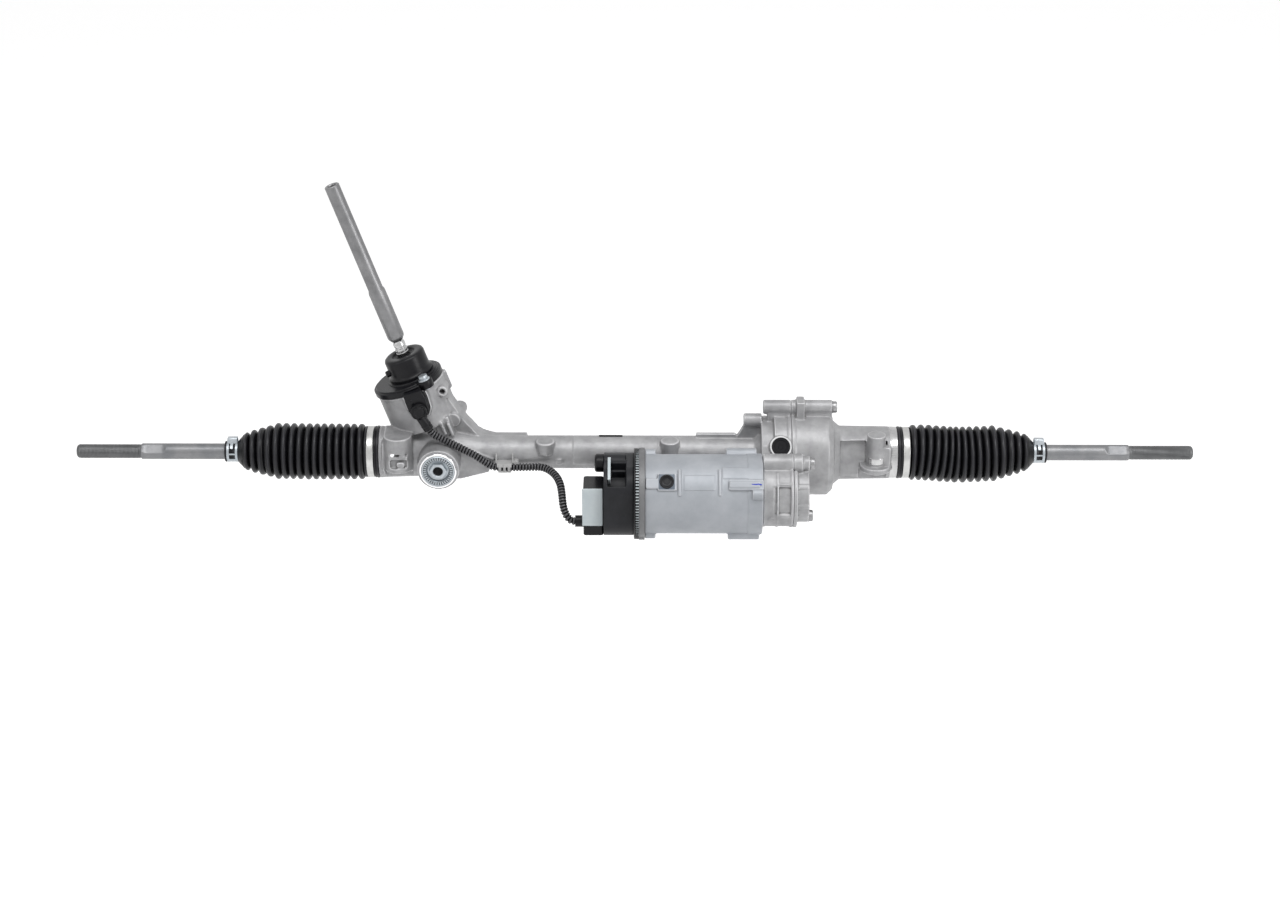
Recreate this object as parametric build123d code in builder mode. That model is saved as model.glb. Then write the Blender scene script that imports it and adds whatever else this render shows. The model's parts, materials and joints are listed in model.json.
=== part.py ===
"""Rack-and-pinion steering gear with a belt-driven ball screw, built in millimetres.

The rack runs along X, the driver's side input shaft leans over its left end, Z is up and -Y faces
the front of the car. The origin is the middle of the left mounting seat, where its tapped hole opens downwards.
"""

import os
from math import acos, asin, atan, cos, degrees, pi, radians, sin, sqrt, tan

from build123d import *

os.makedirs("parts", exist_ok=True)

# the plane where the two castings meet; the pieces to its right are placed from it
seamX = 390.0

# mounting bolts: both come up from below into blind tapped holes and seat on one level
boltX = -45.5
boltY = -27.0
boltRadius = 5.1
boltDepth = 28.0
seatLevel = -8.0
seatWay = 18.6
leftBossTop = 32.5
leftBossRadius = 15.4
rightBoltX = seamX + 94.0
rightBossTop = 34.0
rightBossRadius = 10.25
seatDiscRadius = 17.25
seatDiscThick = 6.0

# rack bar and travel
barRadius = 13.5
travel = 72.0
ballXLeft = -158.5
ballXRight = seamX + 206.4
barInset = 22.0
boreRadius = 15.5
counterRadius = 22.6
runningFit = 0.05
looseGap = 0.4

# rack teeth and pinion
teeth = 8
module = 2.0
lean = radians(19.6)
pressure = radians(20.0)
profileShift = 0.9
backlash = 0.16
toothLine = 7.7
pinionTipTrim = 0.2
pitchRadius = teeth * module / 2 / cos(lean)
pinionY = toothLine + pitchRadius + profileShift
pinionHalfFace = 17.0

# tie rods
ballRadius = 14.0
seatRadius = 16.0
ballHousingRadius = 20.5
rodRadius = 8.85
threadRadius = 8.0
flatsAcross = 13.0
neckRadius = 7.0

# casting sections
spigotRadius = 26.4
endRadius = 28.8
tubeRadius = 18.5
castingLeft = -67.8
spigotLeft = -84.6
coverFlangeEnd = seamX + 12.5
coverBodyEnd = seamX + 47.0
coneEnd = seamX + 55.0
castingRight = seamX + 110.0
spigotRight = castingRight + 21.4
rightTubeRadius = 30.0
rightTubeEnd = 29.2
nutBodyRadius = 47.5
nutStepRadius = 41.0

# motor axis
motorY = -69.6
motorZ = -18.3
motorRadius = 43.6
motorRight = seamX - 33.7
motorLeft = motorRight - 128.5
ringLeft = motorLeft - 12.0
ringRight = motorLeft - 6.4
ringRadius = 50.0
ecuLeft = motorLeft - 44.8
motorCentre = (motorY, motorZ)

# belt drive
beltPitch = 2.5
nutPulleyTeeth = 76
drivePulleyTeeth = 32
nutPulleyRadius = nutPulleyTeeth * beltPitch / 2 / pi
drivePulleyRadius = drivePulleyTeeth * beltPitch / 2 / pi
beltThick = 1.8

# tower, along the pinion axis
towerRadius = 38.5
towerShift = -5.5
towerTop = 84.0
towerFloor = 36.8
flangeRadius = 39.5
flangeThick = 8.0
capRadius = 24.3
capTop = 119.0
shaftRadius = 8.25
shaftLowRadius = 9.5
shaftNeckRadius = 6.7
shaftTop = 326.0
shaftStep = 200.0
shaftNeckTop = 136.0

low = (Align.CENTER, Align.CENTER, Align.MIN)
mid = (Align.CENTER, Align.CENTER, Align.CENTER)


def at(x, y, z):
    """A point counted from the rack's axis, where the pinion crosses it."""
    return (x - boltX, y - boltY, z - seatLevel)


def along(x, y=0.0, z=0.0):
    """A plane across the rack: its normal is +X, its own axes are Y and Z."""
    return Plane(origin=at(x, y, z), x_dir=(0, 1, 0), z_dir=(1, 0, 0))


def upright(x, y, z):
    return Plane(origin=at(x, y, z), x_dir=(1, 0, 0), z_dir=(0, 0, 1))


def facing(x, y, z):
    """A plane that looks forward: its normal is -Y, its own axes are X and Z."""
    return Plane(origin=at(x, y, z), x_dir=(1, 0, 0), z_dir=(0, -1, 0))


def onPinion(s, shift=0.0, out=0.0):
    """A plane across the pinion's axis, s along it; shift is towards +X, out towards -Y."""
    x = -s * sin(lean) + shift * cos(lean)
    z = s * cos(lean) + shift * sin(lean)
    axis = (-sin(lean), 0, cos(lean))
    return Plane(origin=at(x, pinionY - out, z), x_dir=(cos(lean), 0, sin(lean)), z_dir=axis)


def motorSide(x, angle, out):
    """A plane on the motor's skin: angle is counted from -Y up, its normal points outwards."""
    a = radians(angle)
    y = motorY - out * cos(a)
    z = motorZ + out * sin(a)
    return Plane(origin=at(x, y, z), x_dir=(1, 0, 0), z_dir=(0, -cos(a), sin(a)))


def fan(x, inner, outer, start, stop):
    """A sector of a ring round the motor axis, on a plane across it; angles are counted from -Y up."""
    corners = [motorCentre]
    for angle in (start, (start + stop) / 2, stop):
        a = radians(angle)
        corners.append((motorY - 1.5 * outer * cos(a), motorZ + 1.5 * outer * sin(a)))
    with BuildSketch(along(x), mode=Mode.PRIVATE) as sector:
        with Locations(motorCentre):
            Circle(outer)
            Circle(inner, mode=Mode.SUBTRACT)
        with BuildLine():
            Polyline(*corners, close=True)
        make_face(mode=Mode.INTERSECT)
    return sector.sketch


def turned(points):
    """The profile of a piece turned about X, as (x, radius) pairs from one end to the other."""
    plane = Plane(origin=at(0, 0, 0), x_dir=(1, 0, 0), z_dir=(0, -1, 0))
    with BuildSketch(plane, mode=Mode.PRIVATE) as profile:
        with BuildLine():
            Polyline(*points, close=True)
        make_face()
    return profile.sketch


rackAxis = Axis(at(0, 0, 0), (1, 0, 0))
motorAxis = Axis(at(0, motorY, motorZ), (1, 0, 0))
pinionAxis = Axis(at(0, pinionY, 0), (-sin(lean), 0, cos(lean)))


def save(piece, name):
    piece.part.label = name
    export_step(piece.part, f"parts/{name}.step")


# rack bar: teeth towards +Y at the left, ball screw at the right
barLeft = ballXLeft + barInset
barRight = ballXRight - barInset
studRadius = 8.0
studLength = 20.0
rackPitch = pi * module
tipLine = toothLine + module
rootLine = toothLine - 1.25 * module
gapCount = 27
screwStart = 300.0

halfGap = rackPitch / 4 + backlash / 2
gapTop = tipLine + 0.5
with BuildSketch(Plane.XY, mode=Mode.PRIVATE) as toothGap:
    with BuildLine():
        Polyline(
            (-halfGap - (gapTop - toothLine) * tan(pressure), gapTop),
            (-halfGap + (toothLine - rootLine) * tan(pressure), rootLine),
            (halfGap - (toothLine - rootLine) * tan(pressure), rootLine),
            (halfGap + (gapTop - toothLine) * tan(pressure), gapTop),
            close=True,
        )
    make_face()

with BuildPart() as rackBar:
    with Locations(along(barLeft)):
        Cylinder(barRadius, barRight - barLeft, align=low)
    with Locations(along(barLeft), along(barRight - studLength)):
        Cylinder(studRadius + runningFit, studLength, align=low, mode=Mode.SUBTRACT)
    # the gaps between teeth, cut straight across the bar
    with BuildSketch(upright(0, 0, 0)):
        with GridLocations(rackPitch, 1, gapCount, 1):
            add(toothGap.sketch)
        with Locations((0, tipLine + 5)):
            Rectangle(gapCount * rackPitch + 6, 10)
    extrude(amount=barRadius + 1, both=True, mode=Mode.SUBTRACT)
save(rackBar, "rack_bar")

# pinion: the flank is an involute of the base circle, wound up the shaft
transverse = atan(tan(pressure) / cos(lean))
baseRadius = pitchRadius * cos(transverse)
tipRadius = pitchRadius + profileShift + module - pinionTipTrim
rootRadius = pitchRadius + profileShift - 1.25 * module
halfTooth = (pi * module / cos(lean) / 2 + 2 * profileShift * tan(transverse) - backlash / 2) / pitchRadius / 2


def involute(a):
    return tan(a) - a


def flankAngle(r):
    a = acos(min(1.0, baseRadius / max(r, baseRadius)))
    return halfTooth + involute(transverse) - involute(a)


toothPoints = []
for k in range(teeth):
    middle = -pi / 2 + 2 * pi * k / teeth
    edge = flankAngle(baseRadius)
    rising = [(rootRadius, -edge - 0.05)]
    for n in range(6):
        r = baseRadius + 0.02 + (tipRadius - baseRadius - 0.02) * n / 5
        rising.append((r, -flankAngle(r)))
    for r, a in rising:
        toothPoints.append((r * cos(middle + a), r * sin(middle + a)))
    for r, a in reversed(rising):
        toothPoints.append((r * cos(middle - a), r * sin(middle - a)))

with BuildSketch(Plane.XY, mode=Mode.PRIVATE) as toothSection:
    with BuildLine():
        Polyline(*toothPoints, close=True)
    make_face()

twist = pinionHalfFace * tan(lean) / pitchRadius
startPlane = onPinion(-pinionHalfFace)
startSection = startPlane.location * toothSection.sketch.rotate(Axis.Z, degrees(-twist))
pinionGear = Solid.extrude_linear_with_rotation(
    startSection.face(),
    center=startPlane.origin,
    normal=startPlane.z_dir * (2 * pinionHalfFace),
    angle=degrees(2 * twist),
)

with BuildPart() as pinionShaft:
    add(pinionGear)
    with Locations(onPinion(-33)):
        Cylinder(6.0, 16.5, align=low)
    with Locations(onPinion(pinionHalfFace - 0.5)):
        Cylinder(8.5, 34, align=low)
    with Locations(onPinion(46)):
        Cylinder(14.0, 16, align=low)
    # the torsion bar's lower seat and the collar that the input shaft's tongue stops in
    with Locations(onPinion(24)):
        Cylinder(3.0 + 0.02, 60, align=low, mode=Mode.SUBTRACT)
    with Locations(onPinion(50)):
        Cylinder(10.0, 30, align=low, mode=Mode.SUBTRACT)
save(pinionShaft, "pinion_shaft")

with BuildPart() as torsionBar:
    with Locations(onPinion(24.5)):
        Cylinder(3.0, 20, align=low)
    with Locations(onPinion(44.5)):
        Cylinder(2.2, 80, align=low)
save(torsionBar, "torsion_bar")

# input shaft: hollow, with a grooved neck where the dust cap's lip runs
with BuildPart() as inputShaft:
    with Locations(onPinion(52)):
        Cylinder(8.5, 46, align=low)
    with Locations(onPinion(98)):
        Cylinder(shaftNeckRadius, shaftNeckTop - 98 + 1, align=low)
    with Locations(onPinion(shaftNeckTop)):
        Cone(shaftNeckRadius, shaftLowRadius, 5, align=low)
    with Locations(onPinion(shaftNeckTop + 5)):
        Cylinder(shaftLowRadius, shaftStep - shaftNeckTop - 9, align=low)
    with Locations(onPinion(shaftStep - 4)):
        Cone(shaftLowRadius, shaftRadius, 4, align=low)
    with Locations(onPinion(shaftStep)):
        Cylinder(shaftRadius, shaftTop - shaftStep, align=low)
    with Locations(onPinion(shaftTop)):
        Cylinder(3.6, 40, align=(Align.CENTER, Align.CENTER, Align.MAX), mode=Mode.SUBTRACT)
    with Locations(onPinion(51)):
        Cylinder(3.2, 74, align=low, mode=Mode.SUBTRACT)
save(inputShaft, "input_shaft")


# rack housing casting
nutCavityLeft = seamX - 24.0
beltCavity = nutPulleyRadius + beltThick + 1.96
beltPocketRadius = drivePulleyRadius + beltThick + 2.07
nutCavity = beltCavity + 2.0
beltWall = 2.5
lobeRadius = 35.6
coverLobeRadius = 30.5
yokeBoreRadius = 17.05
yokeBossRadius = 23.3
yokeBossFace = 49.0
screwBossRadius = 8.0
topScrewZ = 55.4
upperScrewBoss = 10.5
lowerScrewBoss = 7.0
upperScrew = (-70.0, 19.0)
lowerScrew = (-63.0, -48.0)
rearScrew = (50.5, 22.5)
underScrew = (17.5, -52.5)
pinionBore = 12.5
upperBearingRadius = 20.0
lowerBearingRadius = 11.0
sensorBore = 33.0

ventAngle = radians(31.5)
ventPlane = Plane(
    origin=at(seamX - 12.5, -46.0 * cos(ventAngle), 46.0 * sin(ventAngle)),
    x_dir=(1, 0, 0),
    z_dir=(0, -cos(ventAngle), sin(ventAngle)),
)

with BuildPart() as rackHousing:
    # tube, left end and the stepped body round the belt
    revolve(
        turned(
            [
                (spigotLeft, 0),
                (spigotLeft, spigotRadius),
                (castingLeft, spigotRadius),
                (castingLeft, endRadius),
                (16.0, endRadius - 2.8),
                (40.0, tubeRadius + 1.8),
                (60.0, tubeRadius),
                (motorRight - 6.3, tubeRadius),
                (motorRight + 0.4, 25.0),
                (motorRight + 0.4, nutStepRadius),
                (seamX - 17.6, nutStepRadius),
                (seamX - 17.6, nutBodyRadius - 0.5),
                (seamX, nutBodyRadius - 0.5),
                (seamX, 0),
            ]
        ),
        axis=rackAxis,
    )
    # lobe that carries the motor, bridged to the body
    with BuildSketch(along(motorRight + 0.4)):
        with Locations(motorCentre):
            Circle(lobeRadius)
    extrude(amount=seamX - motorRight - 0.4)
    with BuildSketch(along(motorRight + 0.4)):
        Circle(beltCavity + beltWall)
        with Locations(motorCentre):
            Circle(beltPocketRadius + beltWall)
        make_hull()
    extrude(amount=seamX - motorRight - 0.4)
    with Locations(ventPlane.location * Location((0, 0, -12))):
        Cylinder(12.4, 15, align=low)
    # screw bosses round the seam
    with Locations(along(seamX - 26, 0, topScrewZ)):
        Cylinder(screwBossRadius, 26, align=low)
    with Locations(along(motorRight + 0.4, *upperScrew)):
        Cylinder(upperScrewBoss, seamX - motorRight - 0.4, align=low)
    with Locations(along(seamX - 30, *lowerScrew)):
        Cylinder(lowerScrewBoss, 30, align=low)
    for spot in (rearScrew, underScrew):
        with BuildSketch(along(seamX - 17.6)):
            Circle(34)
            with Locations(spot):
                Circle(screwBossRadius)
            make_hull()
        extrude(amount=17.6)
    with Locations(along(seamX - 26, 0, topScrewZ - 8)):
        Box(14, 14, 26, align=low)
    # shallow groove along the front of the lobe
    extrude(fan(seamX - 22, lobeRadius - 3, lobeRadius + 3, -15, 38), amount=19, mode=Mode.SUBTRACT)
    # tower round the pinion, with the wide sensor chamber on top
    with Locations(onPinion(-36)):
        Cylinder(17.0, 60, align=low)
    with Locations(onPinion(14)):
        Cylinder(27.0, 40, align=low)
    with Locations(onPinion(towerFloor, towerShift)):
        Cylinder(towerRadius, towerTop - towerFloor, align=low)
    # two ribs under the chamber, parallel to the pinion
    with Locations(onPinion(24, 16.1, 23), onPinion(20, 23.1, 23)):
        Box(3.4, 22, 16, align=low)
    # web from the tower down to the tube
    with BuildSketch(facing(0, 22, 0)):
        with BuildLine():
            Polyline(
                (-20, 20),
                (10, 66),
                (20, 50),
                (27.6, 38.1),
                (34.3, 30.6),
                (41, 22.1),
                (47.7, 18.3),
                (54.4, 16.1),
                (61.2, 14.5),
                (95.5, 14.4),
                (96.5, 10),
                (60, 0),
                (0, 0),
                close=True,
            )
        make_face()
    extrude(amount=24)
    # yoke boss and the gusset beside it
    with Locations(facing(0, 0, 0)):
        Cylinder(yokeBossRadius, yokeBossFace, align=low)
    with BuildSketch(facing(0, 0, 0)):
        with BuildLine():
            Polyline((10, -24), (24, -24), (54, -16), (60, 0), (40, 8), (10, 20), close=True)
        make_face()
    extrude(amount=20)
    # left mounting boss and its block
    with Locations(upright(boltX, boltY, seatLevel)):
        Cylinder(leftBossRadius, leftBossTop - seatLevel, align=low)
    with Locations(upright(boltX, boltY / 2, seatLevel)):
        Box(2 * leftBossRadius, -boltY, leftBossTop - seatLevel, align=low)
    # right end is the cover's; here the two round bosses on the tube
    with Locations(upright(117.1, -12, 5), upright(255.7, -12, 6)):
        Cylinder(10.3, 13, align=low)
    # pads along the front of the tube
    with BuildSketch(along(148.4)):
        Circle(tubeRadius + 1.2)
        with Locations((-tubeRadius, 6)):
            Rectangle(2 * tubeRadius + 6, 26, mode=Mode.INTERSECT)
    extrude(amount=223.4 - 148.4)
    with BuildSketch(along(223.4)):
        Circle(tubeRadius + 0.7)
        with Locations((-tubeRadius, 10)):
            Rectangle(2 * tubeRadius + 6, 24, mode=Mode.INTERSECT)
    extrude(amount=18)
    with Locations(along(285.0, 0, tubeRadius - 2)):
        Box(5, 13.8, 44, align=low)
    # small boss and gusset against the belt body
    with Locations(along(seamX - 52.3, 0, 39.5)):
        Cylinder(7.5, 20, align=low)
    with BuildSketch(facing(seamX, 3, 0)):
        with BuildLine():
            Polyline((-62, 16), (-52, 34), (-52, 42), (-32, 42), (-32, 16), close=True)
        make_face()
    extrude(amount=6)
    # bosses on the tower
    with Locations(facing(3.9, 12, 76.6)):
        Cylinder(6.0, 19.5, align=low)
    with Locations(Plane(origin=at(15, -6, 41), z_dir=(6, 39, 0))):
        Cylinder(7.7, 39.5, align=low)
    with Locations(onPinion(62, 30.9, -4)):
        Cylinder(5.2, 21.5, align=low)
    # hollows: rack, rack stops, belt, yoke and pinion
    with Locations(along(spigotLeft - 1)):
        Cylinder(boreRadius, seamX - spigotLeft + 2, align=low, mode=Mode.SUBTRACT)
    with Locations(along(spigotLeft - 1)):
        Cylinder(counterRadius, ballXLeft + barInset + travel + 3.5 - spigotLeft, align=low, mode=Mode.SUBTRACT)
    with BuildSketch(along(nutCavityLeft)):
        Circle(beltCavity)
        with Locations(motorCentre):
            Circle(beltPocketRadius)
        make_hull()
    extrude(amount=seamX - nutCavityLeft + 1, mode=Mode.SUBTRACT)
    with Locations(along(motorRight, *motorCentre)):
        Cylinder(9.0, 20, align=low, mode=Mode.SUBTRACT)
    with Locations(facing(0, 0, 0)):
        Cylinder(yokeBoreRadius, yokeBossFace + 1, align=low, mode=Mode.SUBTRACT)
    with Locations(onPinion(-34)):
        Cylinder(lowerBearingRadius + runningFit, 13.5, align=low, mode=Mode.SUBTRACT)
    with Locations(onPinion(-21)):
        Cylinder(pinionBore, 42, align=low, mode=Mode.SUBTRACT)
    with Locations(onPinion(20)):
        Cylinder(upperBearingRadius + runningFit, 30, align=low, mode=Mode.SUBTRACT)
    with Locations(onPinion(44, towerShift)):
        Cylinder(sensorBore, towerTop - 43, align=low, mode=Mode.SUBTRACT)
    # clearance under the seat, the bolt's tapped hole, and the tapped hole of the small boss
    with Locations(upright(boltX, -seatWay - 20, seatLevel - 30)):
        Box(2 * leftBossRadius, 40, 30, align=low, mode=Mode.SUBTRACT)
    with Locations(upright(boltX, boltY, seatLevel)):
        Cylinder(boltRadius, boltDepth, align=low, mode=Mode.SUBTRACT)
    with Locations(facing(3.9, -8.5, 76.6)):
        Cylinder(2.8, 14, align=(Align.CENTER, Align.CENTER, Align.MAX), mode=Mode.SUBTRACT)
    # pocket in the front of the boss, with a bar left across it
    with Locations(facing(-44.2, -36.5, 6.35)):
        Box(19.2, 17.9, 8, align=low, mode=Mode.SUBTRACT)
    with Locations(facing(-44.2, -36.4, 9.2)):
        Box(19.4, 4.2, 3.4, align=low)
save(rackHousing, "rack_housing")

# cover casting over the ball nut
coverInner = seamX + 38.0
with BuildPart() as screwHousing:
    revolve(
        turned(
            [
                (seamX, 0),
                (seamX, nutBodyRadius),
                (coverBodyEnd - 6, nutBodyRadius),
                (coverBodyEnd, nutBodyRadius - 5.5),
                (coverBodyEnd, 37),
                (coneEnd, rightTubeRadius),
                (castingRight, rightTubeEnd),
                (castingRight, endRadius),
                (castingRight + 9, endRadius),
                (castingRight + 9, spigotRadius),
                (spigotRight, spigotRadius),
                (spigotRight, 0),
            ]
        ),
        axis=rackAxis,
    )
    with BuildSketch(along(seamX)):
        with Locations(motorCentre):
            Circle(coverLobeRadius)
    extrude(amount=17)
    with BuildSketch(along(seamX)):
        Circle(beltCavity + beltWall)
        with Locations(motorCentre):
            Circle(beltPocketRadius + beltWall)
        make_hull()
    extrude(amount=coverFlangeEnd - seamX)
    with Locations(along(seamX, 0, topScrewZ)):
        Cylinder(screwBossRadius, 45.5, align=low)
    with Locations(along(seamX, 0, topScrewZ - 8)):
        Box(14, 14, 45.5, align=low)
    with Locations(along(seamX + 6, -3, 54.5)):
        Box(20, 22, 8.6, align=low)
    with Locations(along(seamX, *upperScrew)):
        Cylinder(upperScrewBoss, 10, align=low)
        Cylinder(screwBossRadius, 18, align=low)
    with Locations(along(seamX, *lowerScrew)):
        Cylinder(lowerScrewBoss, 18, align=low)
    for spot in (rearScrew, underScrew):
        with BuildSketch(along(seamX)):
            Circle(34)
            with Locations(spot):
                Circle(screwBossRadius)
            make_hull()
        extrude(amount=18)
    # flat recess along the front of the right tube
    tilt = radians(15)
    recess = Plane(origin=at(0, -19.5 * cos(tilt), 19.5 * sin(tilt)), x_dir=(1, 0, 0), z_dir=(0, -cos(tilt), sin(tilt)))
    with Locations(recess):
        with Locations(((coneEnd + castingRight - 3.5) / 2, -4, 0)):
            Box(castingRight - coneEnd - 2.5, 42, 20, align=low, mode=Mode.SUBTRACT)
    # right mounting boss on its seat disc
    with Locations(upright(rightBoltX, boltY, seatLevel)):
        Cylinder(rightBossRadius, rightBossTop - seatLevel, align=low)
        Cylinder(seatDiscRadius, seatDiscThick, align=low)
    with Locations(upright(rightBoltX, boltY / 2, seatLevel)):
        Box(2 * rightBossRadius, -boltY, rightBossTop - seatLevel - 12, align=low)
    # hollows
    with Locations(along(seamX - 1)):
        Cylinder(boreRadius, spigotRight - seamX + 2, align=low, mode=Mode.SUBTRACT)
        Cylinder(nutCavity, coverInner - seamX + 1, align=low, mode=Mode.SUBTRACT)
    with Locations(along(spigotRight + 1)):
        Cylinder(
            counterRadius,
            spigotRight - (ballXRight - barInset - travel - 3.5),
            align=(Align.CENTER, Align.CENTER, Align.MAX),
            mode=Mode.SUBTRACT,
        )
    with BuildSketch(along(seamX - 1)):
        Circle(beltCavity)
        with Locations(motorCentre):
            Circle(beltPocketRadius)
        make_hull()
    extrude(amount=10, mode=Mode.SUBTRACT)
    # clearance under the seat, short of the rack stop, and the bolt's tapped hole
    with Locations(upright(rightBoltX - 2.5, -seatWay - 20, seatLevel - 30)):
        Box(31, 40, 30, align=low, mode=Mode.SUBTRACT)
    with Locations(upright(rightBoltX, boltY, seatLevel)):
        Cylinder(boltRadius, boltDepth, align=low, mode=Mode.SUBTRACT)
save(screwHousing, "screw_housing")

# pinion bearings and the plug under the pinion
with BuildPart() as lowerBearing:
    with Locations(onPinion(-33)):
        Cylinder(lowerBearingRadius, 12, align=low)
        Cylinder(6.0 + runningFit, 12, align=low, mode=Mode.SUBTRACT)
save(lowerBearing, "pinion_lower_bearing")

with BuildPart() as upperBearing:
    with Locations(onPinion(21)):
        Cylinder(upperBearingRadius, 14, align=low)
        Cylinder(8.5 + runningFit, 14, align=low, mode=Mode.SUBTRACT)
save(upperBearing, "pinion_upper_bearing")

with BuildPart() as bearingRing:
    with Locations(onPinion(35.2)):
        Cylinder(upperBearingRadius, 6, align=low)
        Cylinder(15.5, 6, align=low, mode=Mode.SUBTRACT)
save(bearingRing, "bearing_ring")

# torque sensor chamber: coil ring, flange, dust cap, plug and its screws
with BuildPart() as sensorCoil:
    with Locations(onPinion(62.5)):
        Cylinder(26.0, 14, align=low)
        Cylinder(14.5, 14, align=low, mode=Mode.SUBTRACT)
save(sensorCoil, "sensor_coil")

screwSpots = (radians(-62), radians(118))
screwReach = 31.0
with BuildPart() as sensorHousing:
    with Locations(onPinion(towerTop, towerShift - 1.0)):
        Cylinder(flangeRadius, flangeThick, align=low)
    with Locations(onPinion(towerTop - 6, towerShift)):
        Cylinder(sensorBore - 0.05, 6, align=low)
    with Locations(onPinion(76.8)):
        Cylinder(26.0, 8, align=low)
    with Locations(onPinion(76.8)):
        Cylinder(15.0, 20, align=low, mode=Mode.SUBTRACT)
    with BuildSketch(onPinion(towerTop)):
        for spot in screwSpots:
            with Locations((screwReach * cos(spot), screwReach * sin(spot))):
                Circle(8.5)
    extrude(amount=flangeThick)
    with BuildSketch(onPinion(towerTop - 20)):
        for spot in screwSpots:
            with Locations((screwReach * cos(spot), screwReach * sin(spot))):
                Circle(2.6)
    extrude(amount=40, mode=Mode.SUBTRACT)
save(sensorHousing, "sensor_housing")

with BuildPart() as dustCap:
    with Locations(onPinion(towerTop + flangeThick)):
        Cylinder(capRadius + 1.0, 5, align=low)
    with Locations(onPinion(towerTop + flangeThick + 5)):
        Cone(capRadius + 1.0, capRadius - 1.2, 3, align=low)
    with Locations(onPinion(towerTop + flangeThick + 8)):
        Cylinder(capRadius - 1.2, capTop - towerTop - flangeThick - 8, align=low)
    fillet(faces().sort_by(Axis(at(0, pinionY, 0), (-sin(lean), 0, cos(lean))))[-1].edges(), 2.0)
    with Locations(onPinion(towerTop + flangeThick)):
        Cylinder(capRadius - 4, capTop - towerTop - flangeThick - 4, align=low, mode=Mode.SUBTRACT)
        Cylinder(shaftNeckRadius + looseGap, 40, align=low, mode=Mode.SUBTRACT)
save(dustCap, "dust_cap")

with BuildPart() as sensorScrews:
    with BuildSketch(onPinion(towerTop + flangeThick)):
        for spot in screwSpots:
            with Locations((screwReach * cos(spot), screwReach * sin(spot))):
                Circle(5.5)
    extrude(amount=1.5)
    with BuildSketch(onPinion(towerTop + flangeThick + 1.5)):
        for spot in screwSpots:
            with Locations((screwReach * cos(spot), screwReach * sin(spot))):
                RegularPolygon(4.6, 6)
    extrude(amount=4)
    with BuildSketch(onPinion(towerTop + 0.5)):
        for spot in screwSpots:
            with Locations((screwReach * cos(spot), screwReach * sin(spot))):
                Circle(2.5)
    extrude(amount=flangeThick - 0.5)
save(sensorScrews, "sensor_screws")

plugFront = 31.0
plugBack = towerRadius - pinionY + 0.4
plugFace = Plane(
    origin=onPinion(0, 0, pinionY + plugBack).origin,
    x_dir=(cos(lean), 0, sin(lean)),
    z_dir=(0, -1, 0),
)
with BuildPart() as sensorPlug:
    with BuildSketch(plugFace):
        with BuildLine():
            Polyline(
                (-8.4, 83.6),
                (12.8, 83.6),
                (13.6, 77.0),
                (12.3, 63.4),
                (8.1, 57.3),
                (1.6, 55.8),
                (-6.5, 59.3),
                (-8.8, 69.7),
                close=True,
            )
        make_face()
    extrude(amount=plugFront - plugBack)
    # latch that stands up in front of the flange
    with Locations(plugFace.location * Location((2.2, 84.0, 0.9))):
        Box(20.6, 9.2, plugFront - plugBack - 0.9, align=low)
    with Locations(plugFace.location * Location((2.8, 67.0, 0))):
        Cylinder(7.3, plugFront - plugBack + 4, align=low)
    # outlet that the conduit leaves from
    with Locations(Plane(origin=at(-18.0, -33.0, 56.4), z_dir=(8.3, 0, -14.0))):
        Cylinder(5.4, 16.1, align=low)
save(sensorPlug, "sensor_plug")

# yoke, its spring, plug and ring
yokeBack = 34.0
with BuildPart() as yoke:
    with Locations(facing(0, 0, 0)):
        Cylinder(yokeBoreRadius - 0.05, yokeBack, align=low)
    with Locations(facing(0, -20, 0)):
        Cylinder(9.0, yokeBack - 19, align=low, mode=Mode.SUBTRACT)
    with Locations(along(-20)):
        Cylinder(barRadius + runningFit, 40, align=low, mode=Mode.SUBTRACT)
    with Locations(facing(0, 0, 0)):
        Box(40, 40, 5, align=low, mode=Mode.SUBTRACT)
save(yoke, "yoke")

springWire = 1.5
springBottom = 20.2 + springWire
springRise = 41.8 - springWire - springBottom
with BuildPart() as yokeSpring:
    with BuildLine() as coil:
        Helix(springRise / 4, springRise, 6.6, center=at(0, -springBottom, 0), direction=(0, -1, 0))
    with BuildSketch(Plane(origin=coil.line @ 0, z_dir=coil.line % 0)):
        Circle(springWire)
    sweep(is_frenet=True)
save(yokeSpring, "yoke_spring")

plugOuter = 18.15
plugFaceA = 52.9
with BuildPart() as yokePlug:
    with Locations(facing(0, -42, 0)):
        Cylinder(yokeBoreRadius - 0.1, plugFaceA - 42.5, align=low)
    with Locations(facing(0, -yokeBossFace - 0.1, 0)):
        Cylinder(plugOuter, plugFaceA - yokeBossFace - 0.1, align=low)
    with Locations(facing(0, -plugFaceA, 0)):
        Cylinder(13.2, 3.5, align=(Align.CENTER, Align.CENTER, Align.MAX), mode=Mode.SUBTRACT)
    with BuildSketch(facing(0, -plugFaceA + 3.5, 0)):
        RegularPolygon(7.6 / cos(pi / 6), 6)
    extrude(amount=4.5)
    with Locations(facing(0, -plugFaceA - 1, 0)):
        Cylinder(5.6, 8, align=(Align.CENTER, Align.CENTER, Align.MAX), mode=Mode.SUBTRACT)
save(yokePlug, "yoke_plug")

with BuildPart() as yokeRing:
    with Locations(facing(0, -yokeBossFace, 0)):
        Cylinder(20.4, plugFaceA - yokeBossFace - 0.7, align=low)
        Cylinder(plugOuter + 0.1, 12, align=low, mode=Mode.SUBTRACT)
save(yokeRing, "yoke_ring")

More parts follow.
